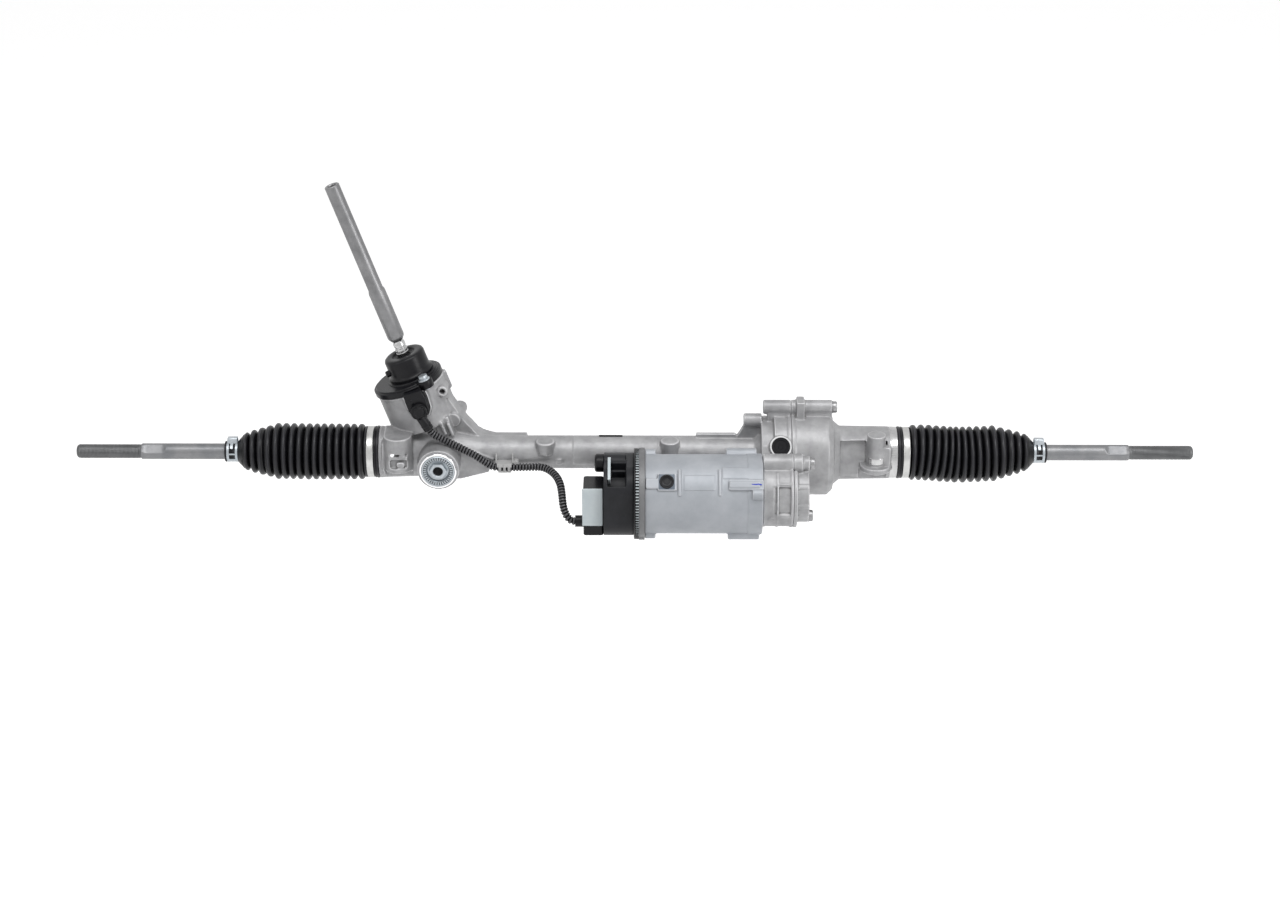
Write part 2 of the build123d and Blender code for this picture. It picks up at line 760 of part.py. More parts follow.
# rack bush at the far left of the tube
with BuildPart() as rackBush:
    with Locations(along(-46)):
        Cylinder(boreRadius - 0.02, 18, align=low)
        Cylinder(barRadius + runningFit, 18, align=low, mode=Mode.SUBTRACT)
save(rackBush, "rack_bush")

# ball nut, its pulley and bearing
nutOuter = 24.0
nutLeft = seamX - 20.0
nutRight = seamX + 32.0
pulleyLeft = seamX - 16.0
pulleyWidth = 16.0
with BuildPart() as ballNut:
    with Locations(along(nutLeft)):
        Cylinder(nutOuter, nutRight - nutLeft, align=low)
        Cylinder(barRadius + 0.35, nutRight - nutLeft, align=low, mode=Mode.SUBTRACT)
save(ballNut, "ball_nut")

with BuildPart() as nutPulley:
    with Locations(along(pulleyLeft)):
        Cylinder(nutPulleyRadius, pulleyWidth, align=low)
        Cylinder(nutOuter + 0.02, pulleyWidth, align=low, mode=Mode.SUBTRACT)
    with Locations(along(pulleyLeft - 1.5), along(pulleyLeft + pulleyWidth)):
        Cylinder(nutPulleyRadius + beltThick + 0.8, 1.5, align=low)
        Cylinder(nutOuter + 0.02, 1.5, align=low, mode=Mode.SUBTRACT)
save(nutPulley, "nut_pulley")

with BuildPart() as screwBearing:
    with Locations(along(seamX + 10)):
        Cylinder(nutCavity - 0.02, 16, align=low)
        Cylinder(nutOuter + runningFit, 16, align=low, mode=Mode.SUBTRACT)
save(screwBearing, "screw_bearing")

with BuildPart() as belt:
    with BuildSketch(along(pulleyLeft + 2)):
        Circle(nutPulleyRadius + 0.3 + beltThick)
        with Locations(motorCentre):
            Circle(drivePulleyRadius + 0.3 + beltThick)
        make_hull()
    extrude(amount=pulleyWidth - 4)
    with BuildSketch(along(pulleyLeft + 2)):
        Circle(nutPulleyRadius + 0.3)
        with Locations(motorCentre):
            Circle(drivePulleyRadius + 0.3)
        make_hull()
    extrude(amount=pulleyWidth - 4, mode=Mode.SUBTRACT)
save(belt, "belt")

with BuildPart() as drivePulley:
    with Locations(along(pulleyLeft, *motorCentre)):
        Cylinder(drivePulleyRadius, pulleyWidth, align=low)
        Cylinder(6.0 + 0.02, pulleyWidth, align=low, mode=Mode.SUBTRACT)
save(drivePulley, "drive_pulley")

# motor
wall = 3.4
with BuildPart() as motorHousing:
    with Locations(along(motorLeft, *motorCentre)):
        Cylinder(motorRadius, motorRight - motorLeft, align=low)
    with Locations(along(motorRight - 19.8, *motorCentre)):
        Cylinder(motorRadius + 0.9, 19.8, align=low)
    for angle, start, stop in ((115, 44.3, 6.3), (-65, 43.3, 4.3), (205, 44.3, 6.3), (25, 12.3, 0)):
        a = radians(angle)
        y = motorY - motorRadius * cos(a)
        z = motorZ + motorRadius * sin(a)
        with Locations(along(motorRight - start, y, z)):
            Cylinder(6.5, start - stop, align=low)
    for angle in (115, -65, 205):
        a = radians(angle)
        with Locations(along(motorLeft, motorY - motorRadius * cos(a), motorZ + motorRadius * sin(a))):
            Cylinder(5.5, 12, align=low)
    # bar, square pad round the plug and the two low bands on the front
    with Locations(motorSide(motorRight - 20.4, 38.4, motorRadius - 3)):
        Box(38, 13, 6.2, align=low)
    with Locations(motorSide(motorLeft + 23.7, 42.5, motorRadius - 4)):
        Box(21, 19, 5.0, align=low)
    with Locations(motorSide(motorLeft + 6.7, 39, motorRadius - 3)):
        Box(13.4, 12, 5.6, align=low)
    with Locations(motorSide(motorLeft + 42.7, 39, motorRadius - 3), motorSide(motorLeft + 82.2, 39, motorRadius - 3)):
        Box(3.2, 32, 4.6, align=low)
    with Locations(motorSide(motorLeft + 23.7, 42.5, motorRadius - 1.5)):
        Cylinder(8.3, 10, align=low, mode=Mode.SUBTRACT)
    with Locations(along(motorLeft - 1, *motorCentre)):
        Cylinder(motorRadius - wall, motorRight - motorLeft - 8, align=low, mode=Mode.SUBTRACT)
        Cylinder(13.0, motorRight - motorLeft + 4, align=low, mode=Mode.SUBTRACT)
save(motorHousing, "motor_housing")

with BuildPart() as motorPlug:
    with Locations(motorSide(motorLeft + 23.7, 42.5, motorRadius - 1.4)):
        Cylinder(8.2, 3.4, align=low)
        Cylinder(6.0, 0.8, align=low, mode=Mode.SUBTRACT)
save(motorPlug, "motor_plug")

with BuildPart() as stator:
    with Locations(along(motorLeft + 18.2, *motorCentre)):
        Cylinder(motorRadius - wall - 0.02, 88, align=low)
        Cylinder(24.0, 88, align=low, mode=Mode.SUBTRACT)
save(stator, "stator")

with BuildPart() as motorShaft:
    with Locations(along(motorLeft + 1.2, *motorCentre)):
        Cylinder(6.0, seamX + 2 - motorLeft - 1.2, align=low)
save(motorShaft, "motor_shaft")

with BuildPart() as rotor:
    with Locations(along(motorLeft + 22.2, *motorCentre)):
        Cylinder(23.4, 80, align=low)
        Cylinder(6.02, 80, align=low, mode=Mode.SUBTRACT)
save(rotor, "rotor")

with BuildPart() as rearBearing:
    with Locations(along(motorRight - 6.8, *motorCentre)):
        Cylinder(12.98, 6.5, align=low)
        Cylinder(6.0 + runningFit, 6.5, align=low, mode=Mode.SUBTRACT)
save(rearBearing, "motor_rear_bearing")

with BuildPart() as endPlate:
    with Locations(along(ringRight, *motorCentre)):
        Cylinder(48.0, motorLeft - ringRight, align=low)
    for angle in (115, -65, 205):
        a = radians(angle)
        with Locations(along(ringRight, motorY - motorRadius * cos(a), motorZ + motorRadius * sin(a))):
            Cylinder(7.0, motorLeft - ringRight, align=low)
    with Locations(along(ringRight, *motorCentre)):
        Cylinder(13.0, motorLeft - ringRight, align=low, mode=Mode.SUBTRACT)
save(endPlate, "motor_end_plate")

with BuildPart() as frontBearing:
    with Locations(along(ringRight + 7.6 - 0.1, *motorCentre)):
        Cylinder(12.98, 6.0, align=low)
        Cylinder(6.0 + runningFit, 6.0, align=low, mode=Mode.SUBTRACT)
save(frontBearing, "motor_front_bearing")

with BuildPart() as sealRing:
    with Locations(along(ringLeft, *motorCentre)):
        Cylinder(ringRadius, ringRight - ringLeft, align=low)
        Cylinder(36.0, ringRight - ringLeft, align=low, mode=Mode.SUBTRACT)
save(sealRing, "seal_ring")

# control unit on the motor's end
powerAxis = (-62.0, 15.4)
powerRadius = 10.2
with BuildPart() as ecuHousing:
    with BuildSketch(along(ecuLeft)):
        with Locations(motorCentre):
            RectangleRounded(80, 80, 24)
    extrude(amount=ringLeft - ecuLeft)
    with BuildSketch(along(ecuLeft + 4)):
        with Locations(motorCentre):
            RectangleRounded(72, 72, 20)
    extrude(amount=ringLeft - ecuLeft - 3, mode=Mode.SUBTRACT)
    # pocket in the upper front quarter: its floor first, then the pocket, its ribs and the ledge under it
    extrude(fan(ecuLeft + 3.9, 26, 38, 28, 95), amount=21.9)
    extrude(fan(ecuLeft + 4.3, 30, 60, 35, 90), amount=20.1, mode=Mode.SUBTRACT)
    extrude(fan(ecuLeft + 8.5, 29.5, 41, 61.5, 63.5), amount=16.5)
    extrude(fan(ecuLeft + 8.5, 29.5, 40, 83, 85), amount=16.5)
    # barrel of the power connector, carried over the housing's top
    with Locations(along(ecuLeft, *powerAxis)):
        Cylinder(powerRadius, 24, align=low)
save(ecuHousing, "ecu_housing")

# locking lever of the power connector, in the pocket
with BuildPart() as lockLever:
    extrude(fan(ecuLeft + 4.35, 41, 46, 45, 86), amount=3.35)
    extrude(fan(ecuLeft + 4.35, 30.1, 41.2, 45, 58), amount=3.35)
save(lockLever, "lock_lever")

with BuildPart() as circuitBoard:
    with Locations(along(ecuLeft + 26, *motorCentre)):
        Cylinder(34.0, 1.6, align=low)
save(circuitBoard, "circuit_board")

with BuildPart() as powerConnector:
    with Locations(along(ecuLeft - 10.1, *powerAxis)):
        Cylinder(powerRadius, 10.05, align=low)
    fillet(faces().sort_by(Axis.X)[0].edges(), 3)
save(powerConnector, "power_connector")

with BuildPart() as signalConnector:
    with Locations(along(ecuLeft - 22.2, -84, -26)):
        Box(32, 57, 22.15, align=low)
    fillet(edges().filter_by(Axis.Z), 3)
save(signalConnector, "signal_connector")

with BuildPart() as connectorCap:
    with Locations(along(ecuLeft - 23.3, -101.2, -19.5)):
        Box(2.2, 44.6, 22.4, align=low)
save(connectorCap, "connector_cap")

# screws of the seam and the vent
with BuildPart() as coverScrews:
    for x, y, z in ((45.5, 0, topScrewZ), (18, *upperScrew), (18, *lowerScrew), (18, *rearScrew), (18, *underScrew)):
        with Locations(along(seamX + x + 0.05, y, z)):
            Cylinder(6.8, 5.6, align=low)
save(coverScrews, "cover_screws")

with BuildPart() as ventRing:
    with Locations(ventPlane.location * Location((0, 0, 3.05))):
        Cylinder(12.0, 2.6, align=low)
        Cylinder(9.9, 2.6, align=low, mode=Mode.SUBTRACT)
save(ventRing, "vent_ring")

with BuildPart() as ventPlug:
    with Locations(ventPlane.location * Location((0, 0, 3.05))):
        Cylinder(9.8, 2.2, align=low)
save(ventPlug, "vent_plug")


# inner ball joints and tie rods, the same for both sides; way is -1 for the left
def ballHousing(ballX, way):
    with BuildPart() as housing:
        revolve(
            turned(
                [
                    (ballX - way * (barInset + studLength), 0),
                    (ballX - way * (barInset + studLength), studRadius - 0.02),
                    (ballX - way * barInset, studRadius - 0.02),
                    (ballX - way * barInset, ballHousingRadius - 1.5),
                    (ballX - way * (barInset - 1.5), ballHousingRadius),
                    (ballX + way * 4, ballHousingRadius),
                    (ballX + way * 12, 17.5),
                    (ballX + way * 12, 0),
                ]
            ),
            axis=rackAxis,
        )
        with Locations(at(ballX, 0, 0)):
            Sphere(seatRadius + runningFit, mode=Mode.SUBTRACT)
        with Locations(along(ballX + way * 10)):
            Cylinder(12.9, 20, mode=Mode.SUBTRACT)
        revolve(
            turned(
                [
                    (ballX + way * 9.0, 0),
                    (ballX + way * 9.0, 12.7),
                    (ballX + way * 12.1, 15.6),
                    (ballX + way * 12.1, 0),
                ]
            ),
            axis=rackAxis,
            mode=Mode.SUBTRACT,
        )
    return housing


def ballSeat(ballX, way):
    with BuildPart() as seat:
        with Locations(at(ballX, 0, 0)):
            Sphere(seatRadius)
            Sphere(ballRadius + runningFit, mode=Mode.SUBTRACT)
        with Locations(at(ballX + way * (8 + 10), 0, 0)):
            Box(20, 40, 40, mode=Mode.SUBTRACT)
    return seat


def tieRod(ballX, way, flatStart, flatEnd, tip):
    with BuildPart() as rod:
        revolve(
            turned(
                [
                    (ballX + way * 10, 0),
                    (ballX + way * 10, neckRadius),
                    (ballX + way * 30, neckRadius),
                    (ballX + way * 38, rodRadius),
                    (flatEnd, rodRadius),
                    (flatEnd + way * 1.2, threadRadius),
                    (tip - way * 3.2, threadRadius),
                    (tip - way * 0.8, threadRadius - 1.3),
                    (tip, threadRadius - 3.2),
                    (tip, 0),
                ]
            ),
            axis=rackAxis,
        )
        with Locations(at(ballX, 0, 0)):
            Sphere(ballRadius)
        flatMiddle = (flatStart + flatEnd) / 2
        flatLength = abs(flatEnd - flatStart)
        side = flatsAcross / 2 + 5
        with Locations(at(flatMiddle, side, 0), at(flatMiddle, -side, 0)):
            Box(flatLength, 10, 20, mode=Mode.SUBTRACT)
    return rod


ballHousingLeft = ballHousing(ballXLeft, -1)
save(ballHousingLeft, "ball_housing_left")
ballHousingRight = ballHousing(ballXRight, 1)
save(ballHousingRight, "ball_housing_right")
seatLeft = ballSeat(ballXLeft, -1)
save(seatLeft, "ball_seat_left")
seatRight = ballSeat(ballXRight, 1)
save(seatRight, "ball_seat_right")
tieRodLeft = tieRod(ballXLeft, -1, ballXLeft - 148.9, ballXLeft - 175.8, ballXLeft - 249.2)
save(tieRodLeft, "tie_rod_left")
tieRodRight = tieRod(ballXRight, 1, ballXRight + 146.3, ballXRight + 172.0, ballXRight + 244.8)
save(tieRodRight, "tie_rod_right")

# boots: sixteen folds that shrink towards the rod, a cuff at each end
folds = 16
bootPeak = 31.4
bootValley = 25.6
bootWall = 1.3
cuffRadius = 13.0
peakStep = 2.55
firstPeak = 21.4


def boot(first, last, lipEnd, cuffEnd, way):
    pitch = (last - first) / (folds - 1)
    outer = [(lipEnd, spigotRadius + 0.1), (lipEnd, 29.3), (lipEnd + way * 5.2, 29.3)]
    outer += [(lipEnd + way * 5.6, 27.7), (lipEnd + way * 13.6, 27.7), (lipEnd + way * 14.0, 29.0)]
    outer += [(last + pitch / 2 * 0.9, 27.9)]
    inner = []
    for n in range(folds):
        k = folds - 1 - n
        peak = min(bootPeak, firstPeak + peakStep * k)
        valley = min(bootValley, firstPeak - 3.0 + peakStep * k)
        x = first + pitch * k
        outer.append((x, peak))
        inner.append((x, peak - bootWall - 0.4))
        if k > 0:
            outer.append((x - pitch / 2, valley))
            inner.append((x - pitch / 2, valley - bootWall - 0.2))
    neck = cuffEnd - way * 15.2
    outer += [(neck, cuffRadius + 1.8), (neck + way * 0.4, cuffRadius)]
    outer += [(cuffEnd - way * 1.9, cuffRadius), (cuffEnd - way * 1.7, cuffRadius + 0.6), (cuffEnd, cuffRadius)]
    outer += [(cuffEnd, rodRadius + 0.05), (neck + way * 0.2, rodRadius + 0.05)]
    ring = outer + [(x, r) for x, r in reversed(inner)]
    start = lipEnd + way * 16.8
    ring += [(start, spigotRadius + 0.1)]
    with BuildPart() as cover:
        revolve(turned(ring), axis=rackAxis)
    return cover


bootLeft = boot(ballXLeft - 59.0, castingLeft - 20.9, castingLeft - 0.3, ballXLeft - 82.9, -1)
save(bootLeft, "boot_left")
bootRight = boot(ballXRight + 56.6, castingRight + 27.9, castingRight + 9.4, ballXRight + 80.6, 1)
save(bootRight, "boot_right")


def band(start, length, inside, outside):
    with BuildPart() as ring:
        with Locations(along(start)):
            Cylinder(outside, length, align=low)
            Cylinder(inside, length, align=low, mode=Mode.SUBTRACT)
    return ring


bandLeft = band(castingLeft - 13.4, 7.0, 27.75, 28.5)
save(bandLeft, "boot_band_left")
bandRight = band(castingRight + 15.4, 7.0, 27.75, 28.5)
save(bandRight, "boot_band_right")
clampLeft = band(ballXLeft - 80.7, 12.6, cuffRadius + 0.05, 14.6)
save(clampLeft, "rod_clamp_left")
clampRight = band(ballXRight + 65.8, 12.6, cuffRadius + 0.05, 14.6)
save(clampRight, "rod_clamp_right")

# harness conduit: straight runs joined by arcs, from the sensor plug to the control unit
conduitRadius = 4.4
plugAxis = (-84.0, -44.7)
route = [
    at(-9.7, -33.0, 42.4),
    at(-7.0, -33.0, 37.85),
    at(-0.8, -32.4, 33.4),
    at(12.7, -31.0, 25.2),
    at(28.8, -29.0, 15.2),
    at(39.7, -28.0, 8.6),
    at(50.5, -27.0, 0.0),
    at(57.0, -26.0, -5.2),
    at(64.6, -25.0, -7.9),
    at(89.1, -25.0, -7.6),
    at(103.6, -25.5, -7.0),
    at(ecuLeft - 70.4, -27.0, -6.0),
    at(ecuLeft - 61.5, -31.0, -7.3),
    at(ecuLeft - 53.5, -40.0, -10.3),
    at(ecuLeft - 48.2, -52.0, -14.9),
    at(ecuLeft - 46.3, -63.0, -21.9),
    at(ecuLeft - 45.0, -74.0, -31.2),
    at(ecuLeft - 41.6, -81.0, -38.7),
    at(ecuLeft - 38.2, -83.2, -42.4),
    at(ecuLeft - 35.6, -83.9, -44.1),
    at(ecuLeft - 33.3, plugAxis[0], plugAxis[1]),
    at(ecuLeft - 31.5, plugAxis[0], plugAxis[1]),
]
bends = []
for n in range(1, len(route) - 1):
    before = Vector(*route[n]) - Vector(*route[n - 1])
    after = Vector(*route[n + 1]) - Vector(*route[n])
    turn = radians(before.get_angle(after))
    bends.append(min(18.0, 0.44 * min(before.length, after.length) / tan(max(turn, 0.01) / 2)))

with BuildPart() as conduit:
    with BuildLine() as lead:
        FilletPolyline(*route, radius=bends)
    with BuildSketch(Plane(origin=lead.line @ 0, z_dir=lead.line % 0)):
        Circle(conduitRadius)
    sweep()
save(conduit, "harness_conduit")
leadLength = sum(edge.length for edge in lead.edges())
print("conduit", round(conduit.part.volume), round(pi * conduitRadius**2 * leadLength), [round(r, 1) for r in bends])

with BuildPart() as harnessPlug:
    with Locations(along(ecuLeft - 31.4, *plugAxis)):
        Cylinder(6.4, 9.1, align=low)
save(harnessPlug, "harness_plug")

# clip that holds the conduit on the tube
with BuildPart() as clip:
    with Locations(along(67.5, -25, -7.8)):
        Cylinder(6.2, 15, align=low)
    with Locations(along(67.5, -20.5, -3.3)):
        Box(5, 9, 15, align=low)
    with Locations(along(66.0, -22.5, 1.2), along(82.5, -22.5, 1.2)):
        Box(6, 13, 1.5, align=low)
    with Locations(along(60, -25, -7.8)):
        Cylinder(conduitRadius + 0.35, 30, align=low, mode=Mode.SUBTRACT)
    with Locations(along(60)):
        Cylinder(tubeRadius + 0.05, 30, align=low, mode=Mode.SUBTRACT)
save(clip, "harness_clip")
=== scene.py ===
# Steering rack with a belt-driven ball screw. The scene is in metres, in the CAD's own frame. Pieces are
# drawn in millimetres, counted from the point where the pinion crosses the rack.
import json
from math import atan2, cos, hypot, pi, radians, sin

import bmesh
import bpy
from mathutils import Matrix, Vector


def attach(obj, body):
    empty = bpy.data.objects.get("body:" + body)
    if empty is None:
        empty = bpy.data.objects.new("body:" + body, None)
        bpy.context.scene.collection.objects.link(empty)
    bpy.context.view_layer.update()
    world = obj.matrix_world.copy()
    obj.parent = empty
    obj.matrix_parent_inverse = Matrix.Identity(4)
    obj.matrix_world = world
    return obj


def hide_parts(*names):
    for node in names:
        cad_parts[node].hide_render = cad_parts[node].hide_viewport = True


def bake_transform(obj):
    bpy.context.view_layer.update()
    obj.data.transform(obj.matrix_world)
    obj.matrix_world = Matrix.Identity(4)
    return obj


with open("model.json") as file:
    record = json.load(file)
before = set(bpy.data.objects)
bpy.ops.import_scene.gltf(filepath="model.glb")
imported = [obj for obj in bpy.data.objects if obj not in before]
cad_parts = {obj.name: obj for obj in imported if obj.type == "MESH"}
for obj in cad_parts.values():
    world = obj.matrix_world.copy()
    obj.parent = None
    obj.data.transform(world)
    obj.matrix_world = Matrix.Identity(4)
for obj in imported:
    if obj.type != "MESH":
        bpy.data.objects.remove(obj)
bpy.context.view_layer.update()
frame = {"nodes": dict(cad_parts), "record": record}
nodes = frame["nodes"]
nodeSlot = {part["node"]: part["material_slot"] for part in frame["record"]["subparts"]}
scene = bpy.context.scene
print("frame loaded,", len(nodes), "nodes")

# places and sizes that several pieces share
rackOrigin = Vector((45.5, 27.0, 8.0))  # the crossing, from the frame's origin
lean = radians(19.6)  # of the pinion, from upright
pinionY = 17.092
motorY, motorZ = -69.6, -18.3
motorRadius = 43.6
seamX = 390.0  # where the two castings meet
rodRadius = 8.85
cuffRadius = 10.7


def rackPoint(x, y, z):
    # from drawing millimetres to the frame's metres
    return (Vector((x, y, z)) + rackOrigin) / 1000


cameraSetup = {
    "elevation": 25.0,
    "roll": 0.09,
    "distance": 2.8,
    "sensor": 36,
    "clip": (0.05, 60),
    "mmPerPixel": 1.12,
    "crossingPixel": (441.3, 451.9),
    "frameSize": (1280, 914),
}


def makeCamera():
    s = cameraSetup
    width, height = s["frameSize"]
    crossX, crossY = s["crossingPixel"]
    pixel = s["mmPerPixel"] / 1000
    data = bpy.data.cameras.new("studioCamera")
    camera = bpy.data.objects.new("studioCamera", data)
    scene.collection.objects.link(camera)
    data.sensor_width = s["sensor"]
    data.lens = s["distance"] * s["sensor"] / (width * pixel)
    data.clip_start, data.clip_end = s["clip"]
    tilt = radians(s["elevation"])
    back = Vector((0, -cos(tilt), sin(tilt)))
    up = Vector((0, sin(tilt), cos(tilt)))
    right = Vector((1, 0, 0))
    aim = rackPoint(0, 0, 0) + right * ((width / 2 - crossX) * pixel) - up * ((height / 2 - crossY) * pixel)
    turn = Matrix.Rotation(radians(s["roll"]), 3, back)
    basis = Matrix((turn @ right, turn @ up, back)).transposed()
    camera.matrix_world = Matrix.Translation(aim + back * s["distance"]) @ basis.to_4x4()
    scene.camera = camera


makeCamera()
print("camera placed")


# finishes: two tones in blotches, a fine grain in gloss and bump, and painted highlight on edges with painted shade in
# corners where a finish has it
finishes = {}
blackLimit, blackGloss = 0.06, 0.22  # finishes darker than the limit take the duller gloss
edgeHighlightAndCornerShadeLimits = ((0.515, 0.56), (0.485, 0.43))  # pointiness of edges with painted highlight, and of corners with painted shade


def addNode(tree, kind, fixed=(), linked=(), **settings):
    # a shader node: its settings, its fixed values, and the outputs that feed it
    node = tree.nodes.new(kind)
    for key, value in settings.items():
        setattr(node, key, value)
    for socket, value in dict(fixed).items():
        node.inputs[socket].default_value = value
    for socket, source in dict(linked).items():
        tree.links.new(source, node.inputs[socket])
    return node


def startFinish(name):
    mat = bpy.data.materials.new(name)
    mat.use_nodes = True
    tree = mat.node_tree
    tree.nodes.clear()
    shader = addNode(tree, "ShaderNodeBsdfPrincipled")
    addNode(tree, "ShaderNodeOutputMaterial", linked={"Surface": shader.outputs["BSDF"]})
    finishes[name] = mat
    return tree, shader


def addNoise(tree, scale, detail, rough, stretch=(1, 1, 1)):
    coord = addNode(tree, "ShaderNodeTexCoord")
    mapping = addNode(tree, "ShaderNodeMapping", {"Scale": stretch}, {"Vector": coord.outputs["Object"]})
    values = {"Scale": scale, "Detail": detail, "Roughness": rough}
    return addNode(tree, "ShaderNodeTexNoise", values, {"Vector": mapping.outputs["Vector"]}).outputs["Fac"]


def addTones(tree, source, dark, light):
    ramp = addNode(tree, "ShaderNodeValToRGB", linked={"Fac": source})
    for element, place, tone in zip(ramp.color_ramp.elements, (0.32, 0.68), (dark, light)):
        element.position, element.color = place, (*tone, 1)
    return ramp.outputs["Color"]


def addRange(tree, source, taken, given=(0.0, 1.0)):
    limits = dict(zip(("From Min", "From Max", "To Min", "To Max"), (*taken, *given)))
    return addNode(tree, "ShaderNodeMapRange", limits, {"Value": source}).outputs["Result"]


def addEdgeHighlightAndCornerShade(tree, colour, paintedTone, limits):
    # painted highlight makes edges that stand out brighter, and painted shade darkens inner corners
    shape = addNode(tree, "ShaderNodeNewGeometry")
    share = addRange(tree, shape.outputs["Pointiness"], limits)
    mix = addNode(tree, "ShaderNodeMix", {"B": (*paintedTone, 1)}, {"Factor": share, "A": colour}, data_type="RGBA")
    return mix.outputs["Result"]


def makeFinish(name, tones, metallic, rough, grain=900, blotch=60, bump=0.25, depth=0.0004, stretch=(1, 1, 1)):
    tree, shader = startFinish(name)
    dark, light = tones
    shader.inputs["Metallic"].default_value = metallic
    if max(light) < blackLimit:
        shader.inputs["Specular IOR Level"].default_value = blackGloss
    colour = addTones(tree, addNoise(tree, blotch, 5, 0.62), dark, light)
    # painted highlight on edges and painted shade in corners, where the finish has them
    for paintedTone, limits in zip(finishEdgeHighlightAndCornerShade.get(name, ()), edgeHighlightAndCornerShadeLimits):
        colour = addEdgeHighlightAndCornerShade(tree, colour, paintedTone, limits)
    fine = addNoise(tree, grain, 3, 0.6, stretch)
    relief = addNode(tree, "ShaderNodeBump", {"Strength": bump, "Distance": depth}, {"Height": fine})
    tree.links.new(colour, shader.inputs["Base Color"])
    tree.links.new(addRange(tree, fine, (0.3, 0.7), rough), shader.inputs["Roughness"])
    tree.links.new(relief.outputs["Normal"], shader.inputs["Normal"])


# tones from dark to light, how metallic, roughness from and to; then grain, blotch, bump, depth and stretch
finishLooks = {
    "castAluminium": (((0.285, 0.285, 0.293), (0.425, 0.425, 0.433)), 0.35, (0.38, 0.55)),
    "motorAluminium": (((0.35, 0.37, 0.40), (0.43, 0.45, 0.48)), 0.3, (0.46, 0.6), 1200, 40, 0.15),
    "plainAluminium": (((0.15, 0.152, 0.157), (0.20, 0.202, 0.207)), 0.4, (0.40, 0.55)),
    "brightSteel": (((0.74, 0.74, 0.75), (0.84, 0.84, 0.85)), 1.0, (0.10, 0.2), 700, 80, 0.03, 0.0001),
    "screwSteel": (((0.24, 0.24, 0.245), (0.34, 0.34, 0.345)), 0.9, (0.28, 0.4), 1200, 90, 0.1, 0.0001),
    "machinedSteel": (((0.4, 0.4, 0.405), (0.52, 0.52, 0.52)), 1.0, (0.16, 0.28), 700, 80, 0.05, 0.0002, (0.05, 1, 1)),
    "rodSteel": (((0.175, 0.18, 0.19), (0.26, 0.26, 0.265)), 0.8, (0.36, 0.52), 1500, 45, 0.12, 0.0002, (0.3, 1, 1)),
    "threadSteel": (((0.105, 0.107, 0.11), (0.15, 0.152, 0.155)), 0.8, (0.38, 0.5), 1500, 45, 0.08, 0.0001),
    "zincPlate": (((0.40, 0.43, 0.46), (0.50, 0.54, 0.57)), 0.7, (0.30, 0.42), 1200, 120, 0.04, 0.0001),
    "bootRubber": (((0.003, 0.003, 0.004), (0.006, 0.006, 0.0075)), 0.0, (0.30, 0.42), 1400, 60, 0.08, 0.0002),
    # a paler rubber for the painted highlight on the boots' fold crests
    "crestHighlightRubber": (((0.032, 0.032, 0.037), (0.042, 0.042, 0.048)), 0.0, (0.28, 0.4), 1400, 60, 0.08, 0.0002),
    "blackPlastic": (((0.004, 0.004, 0.0055), (0.008, 0.008, 0.010)), 0.0, (0.26, 0.38), 1300, 80, 0.12, 0.0002),
    "controlPlastic": (((0.013, 0.0135, 0.016), (0.020, 0.0205, 0.024)), 0.0, (0.40, 0.52), 1300, 80, 0.15, 0.0003),
    "bluePaint": (((0.01, 0.03, 0.42), (0.015, 0.05, 0.55)), 0.0, (0.5, 0.6), 900, 60, 0.05, 0.0001),
    "whitePlastic": (((0.56, 0.63, 0.66), (0.64, 0.70, 0.72)), 0.0, (0.3, 0.4), 900, 50, 0.05, 0.0002),
    "copperWinding": (((0.40, 0.16, 0.07), (0.6, 0.28, 0.14)), 0.9, (0.3, 0.45)),
    "boardGreen": (((0.01, 0.08, 0.03), (0.02, 0.13, 0.05)), 0.0, (0.35, 0.45)),
    "naturalNylon": (((0.62, 0.58, 0.46), (0.72, 0.68, 0.56)), 0.0, (0.35, 0.5)),
    "conduitPlastic": (((0.068, 0.068, 0.074), (0.088, 0.088, 0.095)), 0.0, (0.26, 0.38), 1300, 80, 0.1, 0.0002),
    "clipPlastic": (((0.38, 0.38, 0.38), (0.48, 0.48, 0.48)), 0.0, (0.4, 0.5), 900, 60, 0.08, 0.0002),
    # painted shade for the yoke plug's groove and sunk floor
    "paintedGrooveShade": (((0.09, 0.10, 0.11), (0.13, 0.14, 0.15)), 0.6, (0.5, 0.6), 1200, 120, 0.04, 0.0001),
    # painted shade for the sheet under the motor plug
    "paintedSeatShade": (((0.10, 0.12, 0.15), (0.14, 0.165, 0.20)), 0.3, (0.4, 0.5), 1200, 60, 0.1, 0.0002),
    "bandSteel": (((0.44, 0.44, 0.43), (0.56, 0.56, 0.55)), 1.0, (0.26, 0.38), 700, 80, 0.06, 0.0002, (1, 0.05, 0.05)),
    "deepBlack": (((0.004, 0.004, 0.005), (0.008, 0.008, 0.009)), 0.0, (0.6, 0.75), 900, 60, 0.1, 0.0002),
    "shaftSteel": (((0.185, 0.185, 0.19), (0.26, 0.26, 0.265)), 0.9, (0.34, 0.46), 900, 60, 0.08, 0.0002, (1, 1, 0.2)),
}
